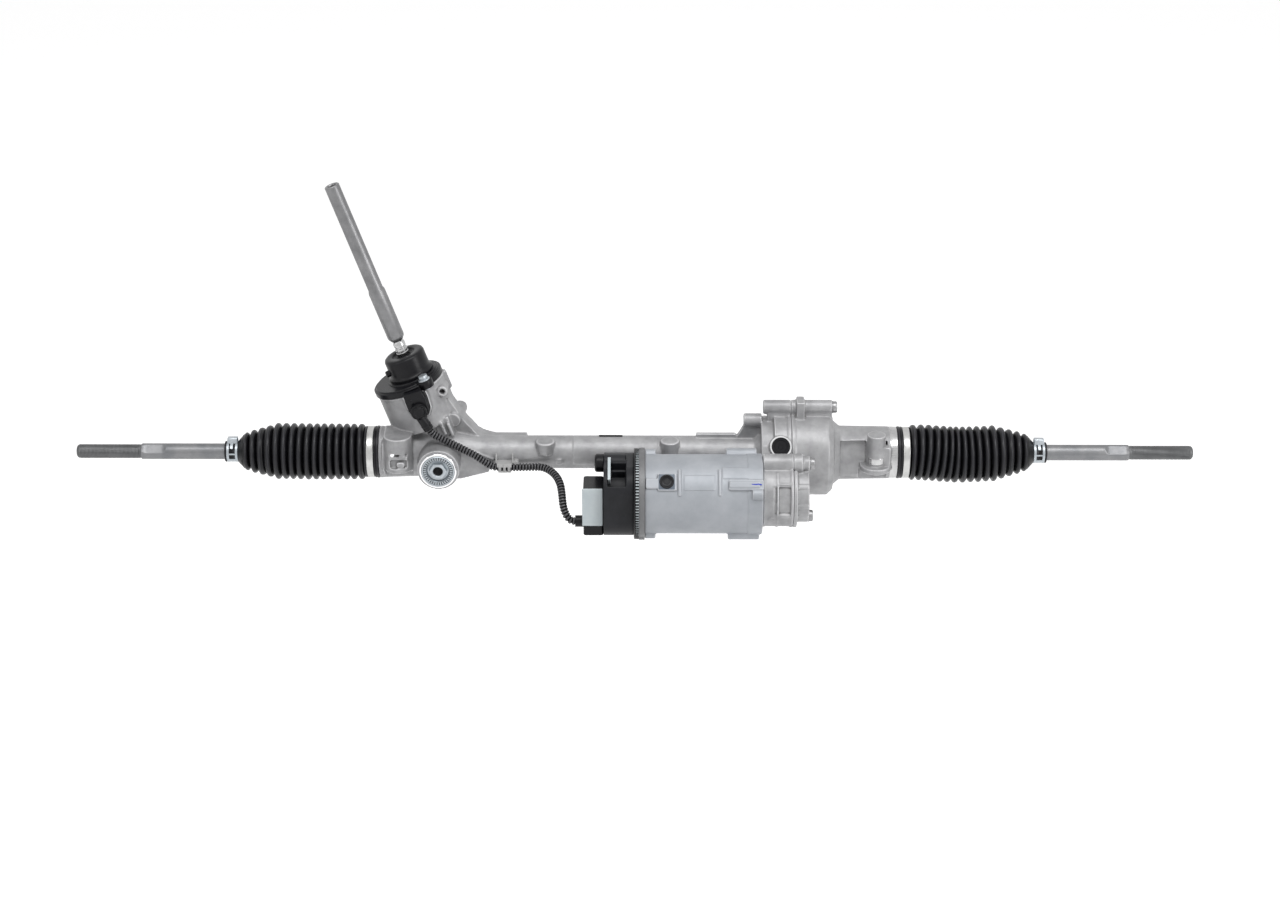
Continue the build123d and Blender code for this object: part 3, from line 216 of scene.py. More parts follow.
# the painted highlight on edges and the painted shade in corners
finishEdgeHighlightAndCornerShade = {
    "castAluminium": ((0.62, 0.62, 0.63), (0.12, 0.117, 0.113)),
    "motorAluminium": ((0.60, 0.61, 0.63), (0.24, 0.24, 0.25)),
    "bootRubber": ((0.026, 0.026, 0.03), (0.001, 0.001, 0.0015)),
}
slotFinish = {
    "cast_aluminium": "plainAluminium",
    "motor_aluminium": "plainAluminium",
    "machined_steel": "machinedSteel",
    "rod_steel": "rodSteel",
    "zinc": "zincPlate",
    "boot_rubber": "bootRubber",
    "black_plastic": "blackPlastic",
    "white_plastic": "whitePlastic",
    "bearing_steel": "machinedSteel",
    "copper_winding": "copperWinding",
    "board_green": "boardGreen",
    "nylon": "naturalNylon",
}
for finishName, look in finishLooks.items():
    makeFinish(finishName, *look)
for nodeName, slot in nodeSlot.items():
    mesh = nodes[nodeName].data
    mesh.materials.clear()
    mesh.materials.append(finishes[slotFinish[slot]])
print("finishes given")


# lines that pieces are turned about, and planes that they are drawn on: origin, axis, and two directions across
crossing, toFront = Vector((0, 0, 0)), Vector((0, -1, 0))
alongX, alongY, alongZ = Vector((1, 0, 0)), Vector((0, 1, 0)), Vector((0, 0, 1))
rackLine = (crossing, alongX, toFront, alongZ)
motorLine = (Vector((0, motorY, motorZ)), alongX, toFront, alongZ)
yokeLine = (crossing, toFront, alongX, alongZ)
topLine = (crossing, alongZ, alongX, alongY)
pinionUp = Vector((-sin(lean), 0, cos(lean)))
pinionAcross = Vector((cos(lean), 0, sin(lean)))
pinionLine = (Vector((0, pinionY, 0)), pinionUp, pinionAcross, toFront)
towerPlane = (crossing, toFront, pinionAcross, pinionUp)


def spot(line, along, across=0.0, up=0.0):
    origin, axis, side, other = line
    return origin + axis * along + side * across + other * up


def moved(line, along, across=0.0, up=0.0):
    # the same line, started from another spot
    return (spot(line, along, across, up), *line[1:])


def leaning(origin, axis):
    # a line through a point in any direction
    axis = Vector(axis).normalized()
    side = axis.orthogonal().normalized()
    return (Vector(origin), axis, side, axis.cross(side))


def motorPlane(x, angle, out=motorRadius):
    # a plane on the motor's skin, its second direction running up round it
    a = radians(angle)
    normal = Vector((0, -cos(a), sin(a)))
    return (Vector((x, motorY, motorZ)) + normal * out, normal, alongX, Vector((0, sin(a), cos(a))))


platePlane = moved(towerPlane, 21.8)


def roundCorners(points, radius, steps=4):
    # every corner of a closed outline becomes a short arc
    rounded = []
    for i, point in enumerate(points):
        here = Vector(point)
        before = Vector(points[i - 1]) - here
        after = Vector(points[(i + 1) % len(points)]) - here
        reach = min(radius, 0.45 * before.length, 0.45 * after.length)
        start = here + before.normalized() * reach
        stop = here + after.normalized() * reach
        for n in range(steps + 1):
            t = n / steps
            rounded.append(tuple(start.lerp(here, t).lerp(here.lerp(stop, t), t)))
    return rounded


def boxOutline(width, height, middle=(0, 0)):
    u, v = middle
    w, h = width / 2, height / 2
    return [(u - w, v - h), (u + w, v - h), (u + w, v + h), (u - w, v + h)]


def strip(start, stop, inner, outer, edge=0.3):
    # the profile of a flat band with its outer edges broken
    return [
        (start, inner), (start, outer - edge), (start + edge, outer),
        (stop - edge, outer), (stop, outer - edge), (stop, inner),
    ]


def post(start, stop, radius, edge=0.4):
    # the profile of a solid pin or head
    return strip(start, stop, 0.0, radius, edge)


def turned(profile, line, steps, span=None, wave=None):
    # a closed profile of (along, radius) pairs taken round the line, or over a span of it
    origin, axis, side, other = line
    verts, faces = [], []
    count = len(profile)
    first, last = span or (0.0, 2 * pi)
    rows = steps + 1 if span else steps
    for k in range(rows):
        a = first + (last - first) * k / steps
        out = side * cos(a) + other * sin(a)
        for along, radius in profile:
            shift, swell = wave(along, radius, a) if wave else (0.0, 0.0)
            verts.append(origin + axis * (along + shift) + out * (radius + swell))
    for k in range(steps):
        n = (k + 1) % rows
        for i in range(count):
            j = (i + 1) % count
            faces.append((k * count + i, k * count + j, n * count + j, n * count + i))
    if span:
        faces.append(tuple(range(count - 1, -1, -1)))
        faces.append(tuple(steps * count + i for i in range(count)))
    return verts, faces


def arc(line, start, stop, inner, outer, first, last, steps, edge=0.3):
    # part of a band, between two angles in degrees
    return turned(strip(start, stop, inner, outer, edge), line, steps, (radians(first), radians(last)))


def teeth(profile, line, count, share, steps):
    # a ring of teeth, each over a share of its pitch
    half = share * pi / count
    places = [2 * pi * k / count for k in range(count)]
    return [turned(profile, line, steps, (a - half, a + half)) for a in places]


def prism(outline, plane, start, stop, bevel=0.4):
    # an outline in a plane's two directions, pushed along the plane's normal, edges rounded
    origin, normal, side, other = plane
    shape = bmesh.new()
    edge = [origin + side * u + other * v + normal * start for u, v in outline]
    lower = [shape.verts.new(p) for p in edge]
    upper = [shape.verts.new(p + normal * (stop - start)) for p in edge]
    shape.faces.new(lower)
    shape.faces.new(upper[::-1])
    for i in range(len(outline)):
        j = (i + 1) % len(outline)
        shape.faces.new((lower[j], lower[i], upper[i], upper[j]))
    bmesh.ops.recalc_face_normals(shape, faces=shape.faces[:])
    if bevel:
        sharp = [e for e in shape.edges if e.calc_face_angle(0) > radians(25)]
        bmesh.ops.bevel(
            shape, geom=sharp, offset=bevel, segments=2, affect="EDGES", profile=0.5, clamp_overlap=True
        )
    shape.verts.index_update()
    result = [v.co.copy() for v in shape.verts], [tuple(v.index for v in f.verts) for f in shape.faces]
    shape.free()
    return result


def tubeAlong(points, radiusAt, sides):
    # a round skin that follows points; radiusAt gives the radius at each of them
    verts, faces = [], []
    before = None
    last = len(points) - 1
    for i, here in enumerate(points):
        ahead = (points[min(i + 1, last)] - points[max(i - 1, 0)]).normalized()
        side = ahead.orthogonal().normalized() if before is None else (before - ahead * before.dot(ahead)).normalized()
        before = side
        other = ahead.cross(side)
        for k in range(sides):
            a = 2 * pi * k / sides
            verts.append(here + (side * cos(a) + other * sin(a)) * radiusAt(i))
    for i in range(last):
        for k in range(sides):
            n = (k + 1) % sides
            faces.append((i * sides + k, i * sides + n, (i + 1) * sides + n, (i + 1) * sides + k))
    faces.append(tuple(range(sides - 1, -1, -1)))
    faces.append(tuple(range(last * sides, last * sides + sides)))
    return verts, faces


def addShapes(build, shapes, placed):
    for verts, faces in shapes:
        made = [build.verts.new(placed(v)) for v in verts]
        for face in faces:
            build.faces.new([made[i] for i in face])


def makePiece(name, shapes, finish, node=None, body="housing", sharp=38, rides=True):
    # a piece that stands for a node hides the node, and takes the finish that is given
    build = bmesh.new()
    addShapes(build, shapes, Vector)
    bmesh.ops.remove_doubles(build, verts=build.verts[:], dist=0.002)
    bmesh.ops.dissolve_degenerate(build, edges=build.edges[:], dist=0.001)
    bmesh.ops.recalc_face_normals(build, faces=build.faces[:])
    bmesh.ops.translate(build, verts=build.verts[:], vec=rackOrigin)
    bmesh.ops.scale(build, verts=build.verts[:], vec=(0.001, 0.001, 0.001))
    mesh = bpy.data.meshes.new(name)
    build.to_mesh(mesh)
    build.free()
    mesh.shade_smooth()
    mesh.set_sharp_from_angle(angle=radians(sharp))
    mesh.materials.append(finishes[finish])
    piece = bpy.data.objects.new(name, mesh)
    scene.collection.objects.link(piece)
    if rides:
        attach(piece, body)
    if node:
        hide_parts(node)
    return piece


def paintFaces(piece, finish, wanted):
    # a second finish on the faces that are wanted, by their number and their middle
    piece.data.materials.append(finishes[finish])
    for number, face in enumerate(piece.data.polygons):
        if wanted(number, face.center * 1000 - rackOrigin):
            face.material_index = 1


# the cable's conduit comes first: the points that its spline is drawn by
conduitSpec = {
    "route": [
        (-9.7, -33.0, 42.4), (-7.0, -33.0, 37.85), (-0.8, -32.4, 33.4), (12.7, -31.0, 25.2), (28.8, -29.0, 15.2),
        (39.7, -28.0, 8.6), (50.5, -27.0, 0.0), (57.0, -26.0, -5.2), (64.6, -25.0, -7.9), (89.1, -25.0, -7.6),
        (103.6, -25.5, -7.0), (112.6, -27.0, -6.0), (121.5, -31.0, -7.3), (129.5, -40.0, -10.3),
        (134.8, -52.0, -14.9), (136.7, -63.0, -21.9), (138.0, -74.0, -31.2), (141.4, -81.0, -38.7),
        (144.8, -83.2, -42.4), (147.4, -83.9, -44.1), (149.7, -84.0, -44.7), (151.5, -84.0, -44.7),
    ],
    "crest": 4.4,
    "root": 2.9,
    "pitch": 3.5,
    "sides": 18,
    "shadeDepth": 0.35,  # below the crests by more than this, the valleys are painted black as painted shade
    "length": 0.226,
}


def readSpline(name, route, divisions):
    # the smooth line that a route's points draw, as points in metres
    curve = bpy.data.curves.new(name, "CURVE")
    curve.dimensions = "3D"
    spline = curve.splines.new("NURBS")
    spline.points.add(len(route) - 1)
    for point, place in zip(spline.points, route):
        point.co = (*rackPoint(*place), 1)
    spline.order_u = 3
    spline.use_endpoint_u = True
    spline.resolution_u = divisions
    line = bpy.data.objects.new(name, curve)
    scene.collection.objects.link(line)
    mesh = bpy.data.meshes.new_from_object(line.evaluated_get(bpy.context.evaluated_depsgraph_get()))
    path = [v.co.copy() for v in mesh.vertices]
    bpy.data.objects.remove(line)
    bpy.data.meshes.remove(mesh)
    return path


def makeConduit():
    s = conduitSpec
    path = readSpline("conduitPath", s["route"], 44)
    reached = [0.0]
    for before, after in zip(path, path[1:]):
        reached.append(reached[-1] + (after - before).length * 1000)
    print("conduit spline", round(reached[-1], 1), "mm")

    def ribbed(i):
        wave = 0.5 + 0.5 * cos(2 * pi * reached[i] / s["pitch"])
        return s["root"] + (s["crest"] - s["root"]) * min(1.0, 1.7 * wave)

    def valley(number, place):
        i = number // s["sides"]
        return i + 1 < len(path) and (ribbed(i) + ribbed(i + 1)) / 2 < s["crest"] - s["shadeDepth"]

    skin = tubeAlong([p * 1000 - rackOrigin for p in path], ribbed, s["sides"])
    piece = makePiece("harnessConduit", [skin], "conduitPlastic", "harness_conduit", sharp=60)
    # the deep valleys between the ribs are painted black, as painted shade
    paintFaces(piece, "deepBlack", valley)


makeConduit()


# motor: its skin, then pillars, pads and bands that stand on it
motorSpec = {
    "left": 227.83,
    "right": 356.25,
    "pillars": (  # angle, start, stop, radius
        (115, 316.9, 350.4, 6.5), (-65, 318.9, 353.4, 6.5), (205, 312, 350, 6.5), (25, 344, 356, 6.5),
        (115, 227.9, 239.8, 5.5), (-65, 227.9, 239.8, 5.5), (205, 227.9, 239.8, 5.5),
    ),
    "pads": (  # width, height, corner, its steps; place, angle; from, to, edge
        (38.0, 11.4, 2.2, 4, 337.6, 38.0, -3, 3.0, 0.4), (33.0, 6.4, 1.6, 4, 335.8, 38.0, 2, 4.0, 0.3),
        (20.5, 19.0, 1.2, 3, 252.0, 42.0, -4, 1.7, 0.3), (13.0, 11.5, 1.5, 3, 235.2, 40.0, -3, 2.0, 0.5),
    ),
    "bands": (  # start, stop, height, first and last angle, steps, edge
        (263.9, 266.9, 1.7, 23, 62, 36, 0.5), (307.7, 310.7, 1.7, 23, 62, 36, 0.5),
        (270.5, 303.5, 0.7, 31, 52, 30, 0.2), (312, 340.6, 0.8, 48, 66, 24, 0.3),
    ),
}


def motorShapes():
    s = motorSpec
    left, right, r = s["left"], s["right"], motorRadius
    skin = [
        (left, 40.25), (left, r - 0.5), (left + 0.5, r), (right - 16.2, r), (right - 15.8, r + 0.8),
        (right - 0.7, r + 0.8), (right, r + 0.1), (right, 13.2), (right - 8, 13.2), (right - 8, 40.25),
    ]
    shapes = [turned(skin, motorLine, 160)]
    for angle, start, stop, radius in s["pillars"]:
        a = radians(angle)
        shapes.append(turned(post(start, stop, radius, 0.8), moved(motorLine, 0, r * cos(a), r * sin(a)), 32))
    for width, height, corner, steps, x, angle, low, high, edge in s["pads"]:
        outline = roundCorners(boxOutline(width, height), corner, steps)
        shapes.append(prism(outline, motorPlane(x, angle), low, high, edge))
    for start, stop, rise, first, last, steps, edge in s["bands"]:
        shapes.append(arc(motorLine, start, stop, r - 2, r + rise, first, last, steps, edge))
    return shapes


# rack casting: the tower's cut-out with its rim, boss and web, then the body's bosses, rims and marks
towerSpec = {
    "rim": [
        (14.6, 83.6), (16.0, 83.6), (16.6, 77.0), (15.2, 62.4), (9.8, 54.6), (1.8, 52.6), (-8.8, 57.2), (-11.6, 69.7),
        (-11.2, 83.6), (-9.6, 83.6), (-10.0, 69.9), (-7.6, 58.6), (1.7, 54.4), (8.8, 56.2), (13.4, 63.0), (14.9, 77.0),
    ],
    "boss": [(6.0, 3.0), (8.3, 3.0), (8.8, 3.5), (8.8, 5.3), (8.3, 6.0), (6.0, 6.3)],
    "bossAt": (3.9, 76.6),
    "web": (17, 21, (16.5, 31.5)),  # width, height, middle
}
bodySpec = {
    "tubeBosses": ((117.1, 18.0), (255.7, 19.0)),  # along the tube, and how high
    "seamRims": ((-4.2, -0.1, 48.2, 0.6), (-19.0, -17.2, 47.4, 0.5)),  # from the seam: start, stop; radius, edge
    "lobeRims": (  # start, stop, inner, outer, first and last angle, steps, edge
        (371.4, 373.4, 32, 36.5, -62, 66, 60, 0.5), (seamX - 3.4, seamX - 0.1, 32, 36.7, -75, 70, 60, 0.5),
        (372, 388, 32, 36.4, 41, 44, 8, 0.5), (372, 388, 32, 36.4, -21, -18, 8, 0.5),
        (357.0, 358.6, 32, 36.2, -80, 66, 60, 0.5), (366, 373, 31, 34.2, -16, 39, 30, 0.3),
    ),
    "lobeMark": (366.4, -25.6, 35.6),  # along, angle, out from the motor's line
    "tubeMark": (132.8, -18.2, -4.0),
    "screwBoss": (seamX, 0, 55.4),
    "lug": (9.0, 5.6, (-42.0, 2.2)),  # width, height, middle
    "pinFoot": (-40.2, 13.0),
    "blockRibs": (-62.5, -30.8),
}


def towerShapes():
    s = towerSpec
    return [
        prism(s["rim"], platePlane, -9.5, 1.0, 0.3),
        turned(s["boss"], moved(yokeLine, 0, *s["bossAt"]), 48),
        turned(strip(81.2, 83.9, 30, 39.0, 0.5), moved(pinionLine, 0, -5.5), 144),  # the step under the flange
        prism(boxOutline(*s["web"]), towerPlane, 0, 12.6, 0.8),
    ]


def bodyShapes():
    s = bodySpec
    shapes = []
    for x, z in s["tubeBosses"]:
        boss = [
            (z - 8, 6), (z - 8, 8.6), (z - 1, 10.4), (z + 0.6, 10.5),
            (z + 0.9, 10.1), (z + 0.9, 7.6), (z + 0.2, 7.2), (z + 0.2, 6),
        ]
        shapes.append(turned(boss, moved(topLine, 0, x, -12), 48))
    for start, stop, radius, edge in s["seamRims"]:
        shapes.append(turned(strip(seamX + start, seamX + stop, 40, radius, edge), rackLine, 128))
    shapes += [arc(motorLine, *rim) for rim in s["lobeRims"]]
    # round marks on the lobe and the tube, and the top screw's boss
    markPlane = (Vector(s["tubeMark"]), Vector((0, -0.98, -0.2)), alongX, Vector((0, -0.2, 0.98)))
    shapes.append(turned(post(-2, 1.0, 4.0), motorPlane(*s["lobeMark"]), 32))
    shapes.append(turned(post(-2, 1.2, 4.2), markPlane, 32))
    shapes.append(turned(post(-31, -22, 8.0, 1.0), moved(rackLine, *s["screwBoss"]), 40))
    # lug and pin's foot in the block's window, ribs beside it, and the end of the block
    shapes.append(prism(roundCorners(boxOutline(*s["lug"]), 2.4), yokeLine, 33, 41.2, 0.6))
    shapes.append(turned(post(33, 40.6, 3.4, 0.6), moved(yokeLine, 0, *s["pinFoot"]), 28))
    shapes += [prism(boxOutline(1.8, 34, (x, 6)), yokeLine, 20, 30.2) for x in s["blockRibs"]]
    shapes.append(arc(rackLine, -66.9, -64.4, 24, 29.1, 0, 360, 120, 0.5))
    return shapes


def castingShapes():
    return towerShapes() + bodyShapes()


# screw casting: rims at the seam, the filler beside the seat, and short ribs over the lobe
coverSpec = {
    "filler": (9.0, 25.0, (seamX + 105.2, 8.0)),  # width, height, middle
    "ribs": ((17.4, 31.6, -6, 2), (17.0, 31.6, -32, -26), (17.0, 31.8, 36, 44)),  # end, radius, angles
}


def coverShapes():
    s = coverSpec
    shapes = [turned(strip(seamX + 0.1, seamX + 4.4, 40, 48.5, 0.6), rackLine, 128)]
    shapes.append(arc(motorLine, seamX + 0.1, seamX + 4.2, 26, 36.7, -75, 70, 60, 0.5))
    shapes.append(prism(roundCorners(boxOutline(*s["filler"]), 2.0, 3), yokeLine, 24, 33.5, 1.0))
    for end, radius, first, last in s["ribs"]:
        shapes.append(arc(motorLine, seamX + 4, seamX + end, 26, radius, first, last, 10, 0.8))
    return shapes


# sensor's socket: the collar that holds the conduit, a dome, and a latch beside it
socketSpec = {
    "collar": [
        (9.0, 0.0), (9.0, 5.6), (10.2, 6.0), (11.2, 5.7), (11.6, 5.0), (12.4, 5.0), (12.8, 5.8),
        (13.8, 5.8), (14.2, 5.0), (15.0, 5.0), (15.3, 5.7), (16.1, 5.7), (16.1, 0.0),
    ],
    "collarAt": (-18.0, -33.0, 56.4),
    "collarWay": (8.3, 0, -14.0),
    "dome": [
        (11.0, 0.0), (11.0, 9.0), (13.9, 9.0), (14.4, 8.5), (14.4, 7.6), (13.7, 7.2),
        (13.7, 6.6), (15.3, 6.3), (15.7, 5.8), (15.7, 4.9), (15.0, 4.5), (15.0, 0.0),
    ],
    "domeAt": (2.4, 66.5),
    "latchAt": (-2.2, 79.0),
}


def socketShapes():
    s = socketSpec
    return [
        turned(s["collar"], leaning(s["collarAt"], s["collarWay"]), 40),
        turned(s["dome"], moved(platePlane, 0, *s["domeAt"]), 48),
        prism(boxOutline(3.0, 5.0, s["latchAt"]), platePlane, 8.0, 10.3),
    ]


# clip: two fins on the tube, a clasp over the conduit with three teeth, and the strap under it
clipSpec = {
    "fin": [(17.0, 4.0), (19.6, 7.6), (21.2, 7.6), (26.4, -0.6), (26.6, -2.4), (18.2, -3.4)],
    "finsAt": (61.8, 80.2),
    "clasp": [
        (18.0, -1.2), (21.5, -1.4), (26.8, -2.6), (30.0, -5.2), (29.2, -6.0), (26.3, -4.0), (21, -3.2), (18.1, -3.6),
    ],
    "teethAt": (65.4, 70.6, 75.8),
    "held": (25.0, -7.8),  # the conduit's middle, forwards and up
}


def clipShapes():
    s = clipSpec
    fin = roundCorners(s["fin"], 0.8, 2)
    held = moved(rackLine, 0, *s["held"])
    shapes = [prism(s["clasp"], rackLine, 63.6, 80.0, 0.3)]
    shapes += [prism(fin, rackLine, x, x + 1.7, 0.3) for x in s["finsAt"]]
    shapes += [arc(held, x, x + 2.8, 4.6, 6.0, -28, 52, 16) for x in s["teethAt"]]
    shapes.append(arc(held, 65.0, 79.0, 4.65, 5.8, -168, -26, 30))
    shapes.append(turned(post(16, 25.5, 2.9, 0.6), moved(yokeLine, 0, 84.6, -2.4), 24))
    shapes.append(prism(boxOutline(5.0, 3.4, (82.4, -2.4)), yokeLine, 17.6, 22.0, 0.3))
    return shapes


# cast and moulded pieces take the node's own skin, unless they are drawn whole, and end soft-edged
mouldings = {
    "rackCasting": {
        "node": "rack_housing", "finish": "castAluminium", "voxel": 0.0010, "rounds": 2, "shapes": castingShapes,
    },
    "screwCasting": {
        "node": "screw_housing", "finish": "castAluminium", "voxel": 0.0010, "rounds": 2, "shapes": coverShapes,
    },
    "motorCasting": {
        "node": "motor_housing", "finish": "motorAluminium", "voxel": 0.0007, "rounds": 1, "shapes": motorShapes,
        "whole": True,
    },
    "controlShell": {"node": "ecu_housing", "finish": "controlPlastic", "voxel": 0.0008, "rounds": 2},
    "signalSocket": {"node": "signal_connector", "finish": "blackPlastic", "voxel": 0.0007, "rounds": 3},
    "powerSocket": {"node": "power_connector", "finish": "blackPlastic", "voxel": 0.0006, "rounds": 3},
    "sensorSocket": {
        "node": "sensor_plug", "finish": "blackPlastic", "voxel": 0.0005, "rounds": 1, "shapes": socketShapes,
    },
    "lockLever": {"node": "lock_lever", "finish": "whitePlastic", "voxel": 0.0004, "rounds": 2},
    "socketCap": {"node": "connector_cap", "finish": "whitePlastic", "voxel": 0.0005, "rounds": 2},
    "conduitClip": {
        "node": "harness_clip", "finish": "clipPlastic", "voxel": 0.0004, "rounds": 1, "shapes": clipShapes,
        "whole": True,
    },
}


def makeMoulding(name, s):
    build = bmesh.new()
    if not s.get("whole"):
        build.from_mesh(nodes[s["node"]].data)
    if "shapes" in s:
        addShapes(build, s["shapes"](), lambda v: (v + rackOrigin) / 1000)
    mesh = bpy.data.meshes.new(name)
    build.to_mesh(mesh)
    build.free()
    piece = bpy.data.objects.new(name, mesh)
    scene.collection.objects.link(piece)
    skin = piece.modifiers.new("skin", "REMESH")
    skin.mode = "VOXEL"
    skin.voxel_size = s["voxel"]
    skin.use_smooth_shade = True
    soft = piece.modifiers.new("soft", "SMOOTH")
    soft.factor = 0.5
    soft.iterations = s["rounds"]
    made = bpy.data.meshes.new_from_object(piece.evaluated_get(bpy.context.evaluated_depsgraph_get()))
    piece.modifiers.clear()
    piece.data = made
    made.name = name
    made.materials.clear()
    made.materials.append(finishes[s["finish"]])
    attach(piece, "housing")
    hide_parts(s["node"])
    print(name, "with", len(made.polygons), "faces")


for mouldingName, mouldingSpec in mouldings.items():
    makeMoulding(mouldingName, mouldingSpec)


# boots: a fold is (place, radius, lean of its top, sag), counted from the casting outwards
bootShape = {
    "lip": (  # from the lip's face inwards, and the radius there
        (0, 28.5), (0.5, 29.2), (2.4, 29.3), (3.0, 28.5), (3.5, 28.5),
        (4.0, 29.0), (4.9, 29.0), (5.5, 27.8), (13.4, 27.8), (13.7, 28.6),
    ),
    "wall": 1.4,
    "thinWall": 0.6,  # over the rod, where it swings
    "valley": 25.6,
    "foldSteps": (-0.95, -0.85, -0.7, -0.52, -0.33, -0.15, 0, 0.15, 0.33, 0.52, 0.7, 0.85, 0.95, 1.0),
    "foldPower": 2.5,
    "lastPower": 1.15,
    "highlightWidth": 0.66,
    "highlightDepth": 0.9,
}
boots = {
    "bootLeft": {
        "way": -1, "node": "boot_left", "bodies": ("rack", "seat_left", "rod_left"),
        "lip": -68.1, "start": -84.4, "neck": -226.4, "end": -241.4,
        "cuts": (-186.45, -195.55), "follow": -215.0, "openValley": 24.0,
        "folds": [
            (-88.8, 31.1, -0.3, 0.0), (-97.3, 31.3, -0.1, 0.0), (-105.5, 31.4, 0.0, 0.0), (-114.0, 31.4, 0.1, 0.0),
            (-122.7, 31.5, 0.3, 0.0), (-131.2, 31.5, 0.4, 0.0), (-139.2, 31.5, 0.6, 0.0), (-147.7, 31.6, 0.6, 0.0),
            (-156.5, 31.5, 0.7, -0.2), (-164.9, 31.4, 0.6, -0.4), (-173.2, 31.4, 0.1, -0.5), (-182.0, 31.5, -0.2, -0.5),
            (-190.9, 28.8, -0.5, -0.4), (-200.2, 26.5, -0.5, -0.2), (-208.9, 24.2, -0.6, 0), (-217.2, 21.3, -0.5, 0),
        ],
    },
    "bootRight": {
        "way": 1, "node": "boot_right", "bodies": ("rack", "seat_right", "rod_right"),
        "lip": 509.4, "start": 523.6, "neck": 661.8, "end": 677.0,
        "cuts": (621.95, 631.15), "follow": 650.6, "openValley": 23.2,
        "folds": [
            (527.0, 31.0, 0.7, 0.0), (535.6, 31.3, 1.4, 0.0), (543.7, 31.4, 2.2, 0.4), (552.0, 31.2, 2.7, 1.0),
            (560.4, 31.4, 2.5, 1.7), (568.3, 31.3, 2.1, 2.3), (575.5, 31.5, 1.0, 2.6), (583.7, 31.5, -0.1, 2.7),
            (591.9, 31.3, -0.9, 2.3), (600.2, 31.4, -1.2, 2.0), (608.7, 31.2, -1.2, 1.5), (617.4, 31.4, -1.1, 1.0),
            (626.5, 28.8, -0.7, 0.6), (635.8, 26.3, -0.4, 0.3), (644.6, 24.0, -0.2, 0.1), (652.7, 21.2, 0.1, 0.0),
        ],
    },
}


def bootSkins(s):
    # the outer and the inner skin from the lip to the cuff, as (place, radius)
    c = bootShape
    way, lip, neck, end, folds = s["way"], s["lip"], s["neck"], s["end"], s["folds"]
    outer = [(lip + way * u, r) for u, r in c["lip"]]
    outer += [(s["start"] - way * 0.5, 28.5), (s["start"], 27.0)]
    inner = [(lip, 26.5), (lip + way * 12.0, 26.5), (s["start"] + way * 0.4, 25.9)]
    before, beforeRadius = s["start"], 27.0
    for n, (x, peak, _, _) in enumerate(folds):
        isLast = n + 1 == len(folds)
        if isLast:
            after, afterRadius = neck, 12.4
        else:
            after = (x + folds[n + 1][0]) / 2
            afterRadius = min(c["valley"], folds[n + 1][1] - 4.6)
            if abs(after - s["cuts"][1]) < 0.1:
                afterRadius = s["openValley"]  # room for the rod at the end of its swing
        for t in c["foldSteps"]:
            rise = 1 - abs(t) ** (c["lastPower"] if isLast and t >= 0 else c["foldPower"])
            base, reach = (beforeRadius, x - before) if t < 0 else (afterRadius, after - x)
            outer.append((x + reach * t, base + (peak - base) * max(rise, 0)))
        wall = c["thinWall"] if way * after > way * s["cuts"][0] + 1 else c["wall"]
        inner.append((x - (x - before) * 0.35, peak - c["wall"] - 0.9))
        inner.append((x + (after - x) * 0.35, peak - c["wall"] - 0.9))
        inner.append((after, max(afterRadius - wall, rodRadius + 0.1)))
        before, beforeRadius = after, afterRadius
    outer += [(neck + way * 0.3, cuffRadius + 0.2), (neck + way * 0.7, cuffRadius), (end - way * 1.6, cuffRadius)]
    outer += [(end - way * 1.4, cuffRadius + 1.0), (end - way * 0.4, cuffRadius + 1.0), (end, cuffRadius + 0.5)]
    inner.append((end, rodRadius + 0.08))
    return outer, inner


def bootWave(s):
    # how far each fold leans and sags round the axis
    way = s["way"]
    folds = [(x * way, tilt, sag) for x, _, tilt, sag in s["folds"]]
    marks = [(s["start"] * way, 0.0, 0.0), *folds, (s["neck"] * way, 0.0, 0.0)]

    def wave(along, radius, a):
        tilt, sag = 0.0, 0.0
        for (x0, tilt0, sag0), (x1, tilt1, sag1) in zip(marks, marks[1:]):
            if x0 <= along * way <= x1:
                t = (along * way - x0) / (x1 - x0)
                tilt, sag = tilt0 + (tilt1 - tilt0) * t, sag0 + (sag1 - sag0) * t
        return tilt * sin(a), -sag * sin(a)

    return wave


def makeBoot(name, s):
    c = bootShape
    way, cuts = s["way"], s["cuts"]
    outer, inner = bootSkins(s)
    ends = [s["lip"] - way, *cuts, s["end"] + way]

    def paintedCrestHighlight(number, place):
        # the narrow band on top of each fold is painted a little paler, as a painted highlight
        turn = sin(atan2(place.z, -place.y))
        out = hypot(place.y, place.z)
        return any(
            abs(place.x - x - tilt * turn) < c["highlightWidth"] and out > peak - sag * turn - c["highlightDepth"]
            for x, peak, tilt, sag in s["folds"]
        )

    for n, part in enumerate(("Folds", "Taper", "Cuff")):
        first, last = way * ends[n] - 0.01, way * ends[n + 1] + 0.01
        skin = [p for p in outer if first <= way * p[0] <= last]
        skin += [p for p in inner if first <= way * p[0] <= last][::-1]
        shape = turned(skin, rackLine, 112, wave=bootWave(s))
        piece = makePiece(name + part, [shape], "bootRubber", s["node"], sharp=50, rides=False)
        # the fold crests take the paler rubber as a painted highlight
        paintFaces(piece, "crestHighlightRubber", paintedCrestHighlight)
        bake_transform(piece)


for bootName, bootSpec in boots.items():
    makeBoot(bootName, bootSpec)
print("boots made")


# steel bands round the boots' wide ends
bands = {
    "bandLeft": {"start": -81.3, "node": "boot_band_left"},
    "bandRight": {"start": 515.3, "node": "boot_band_right"},
}


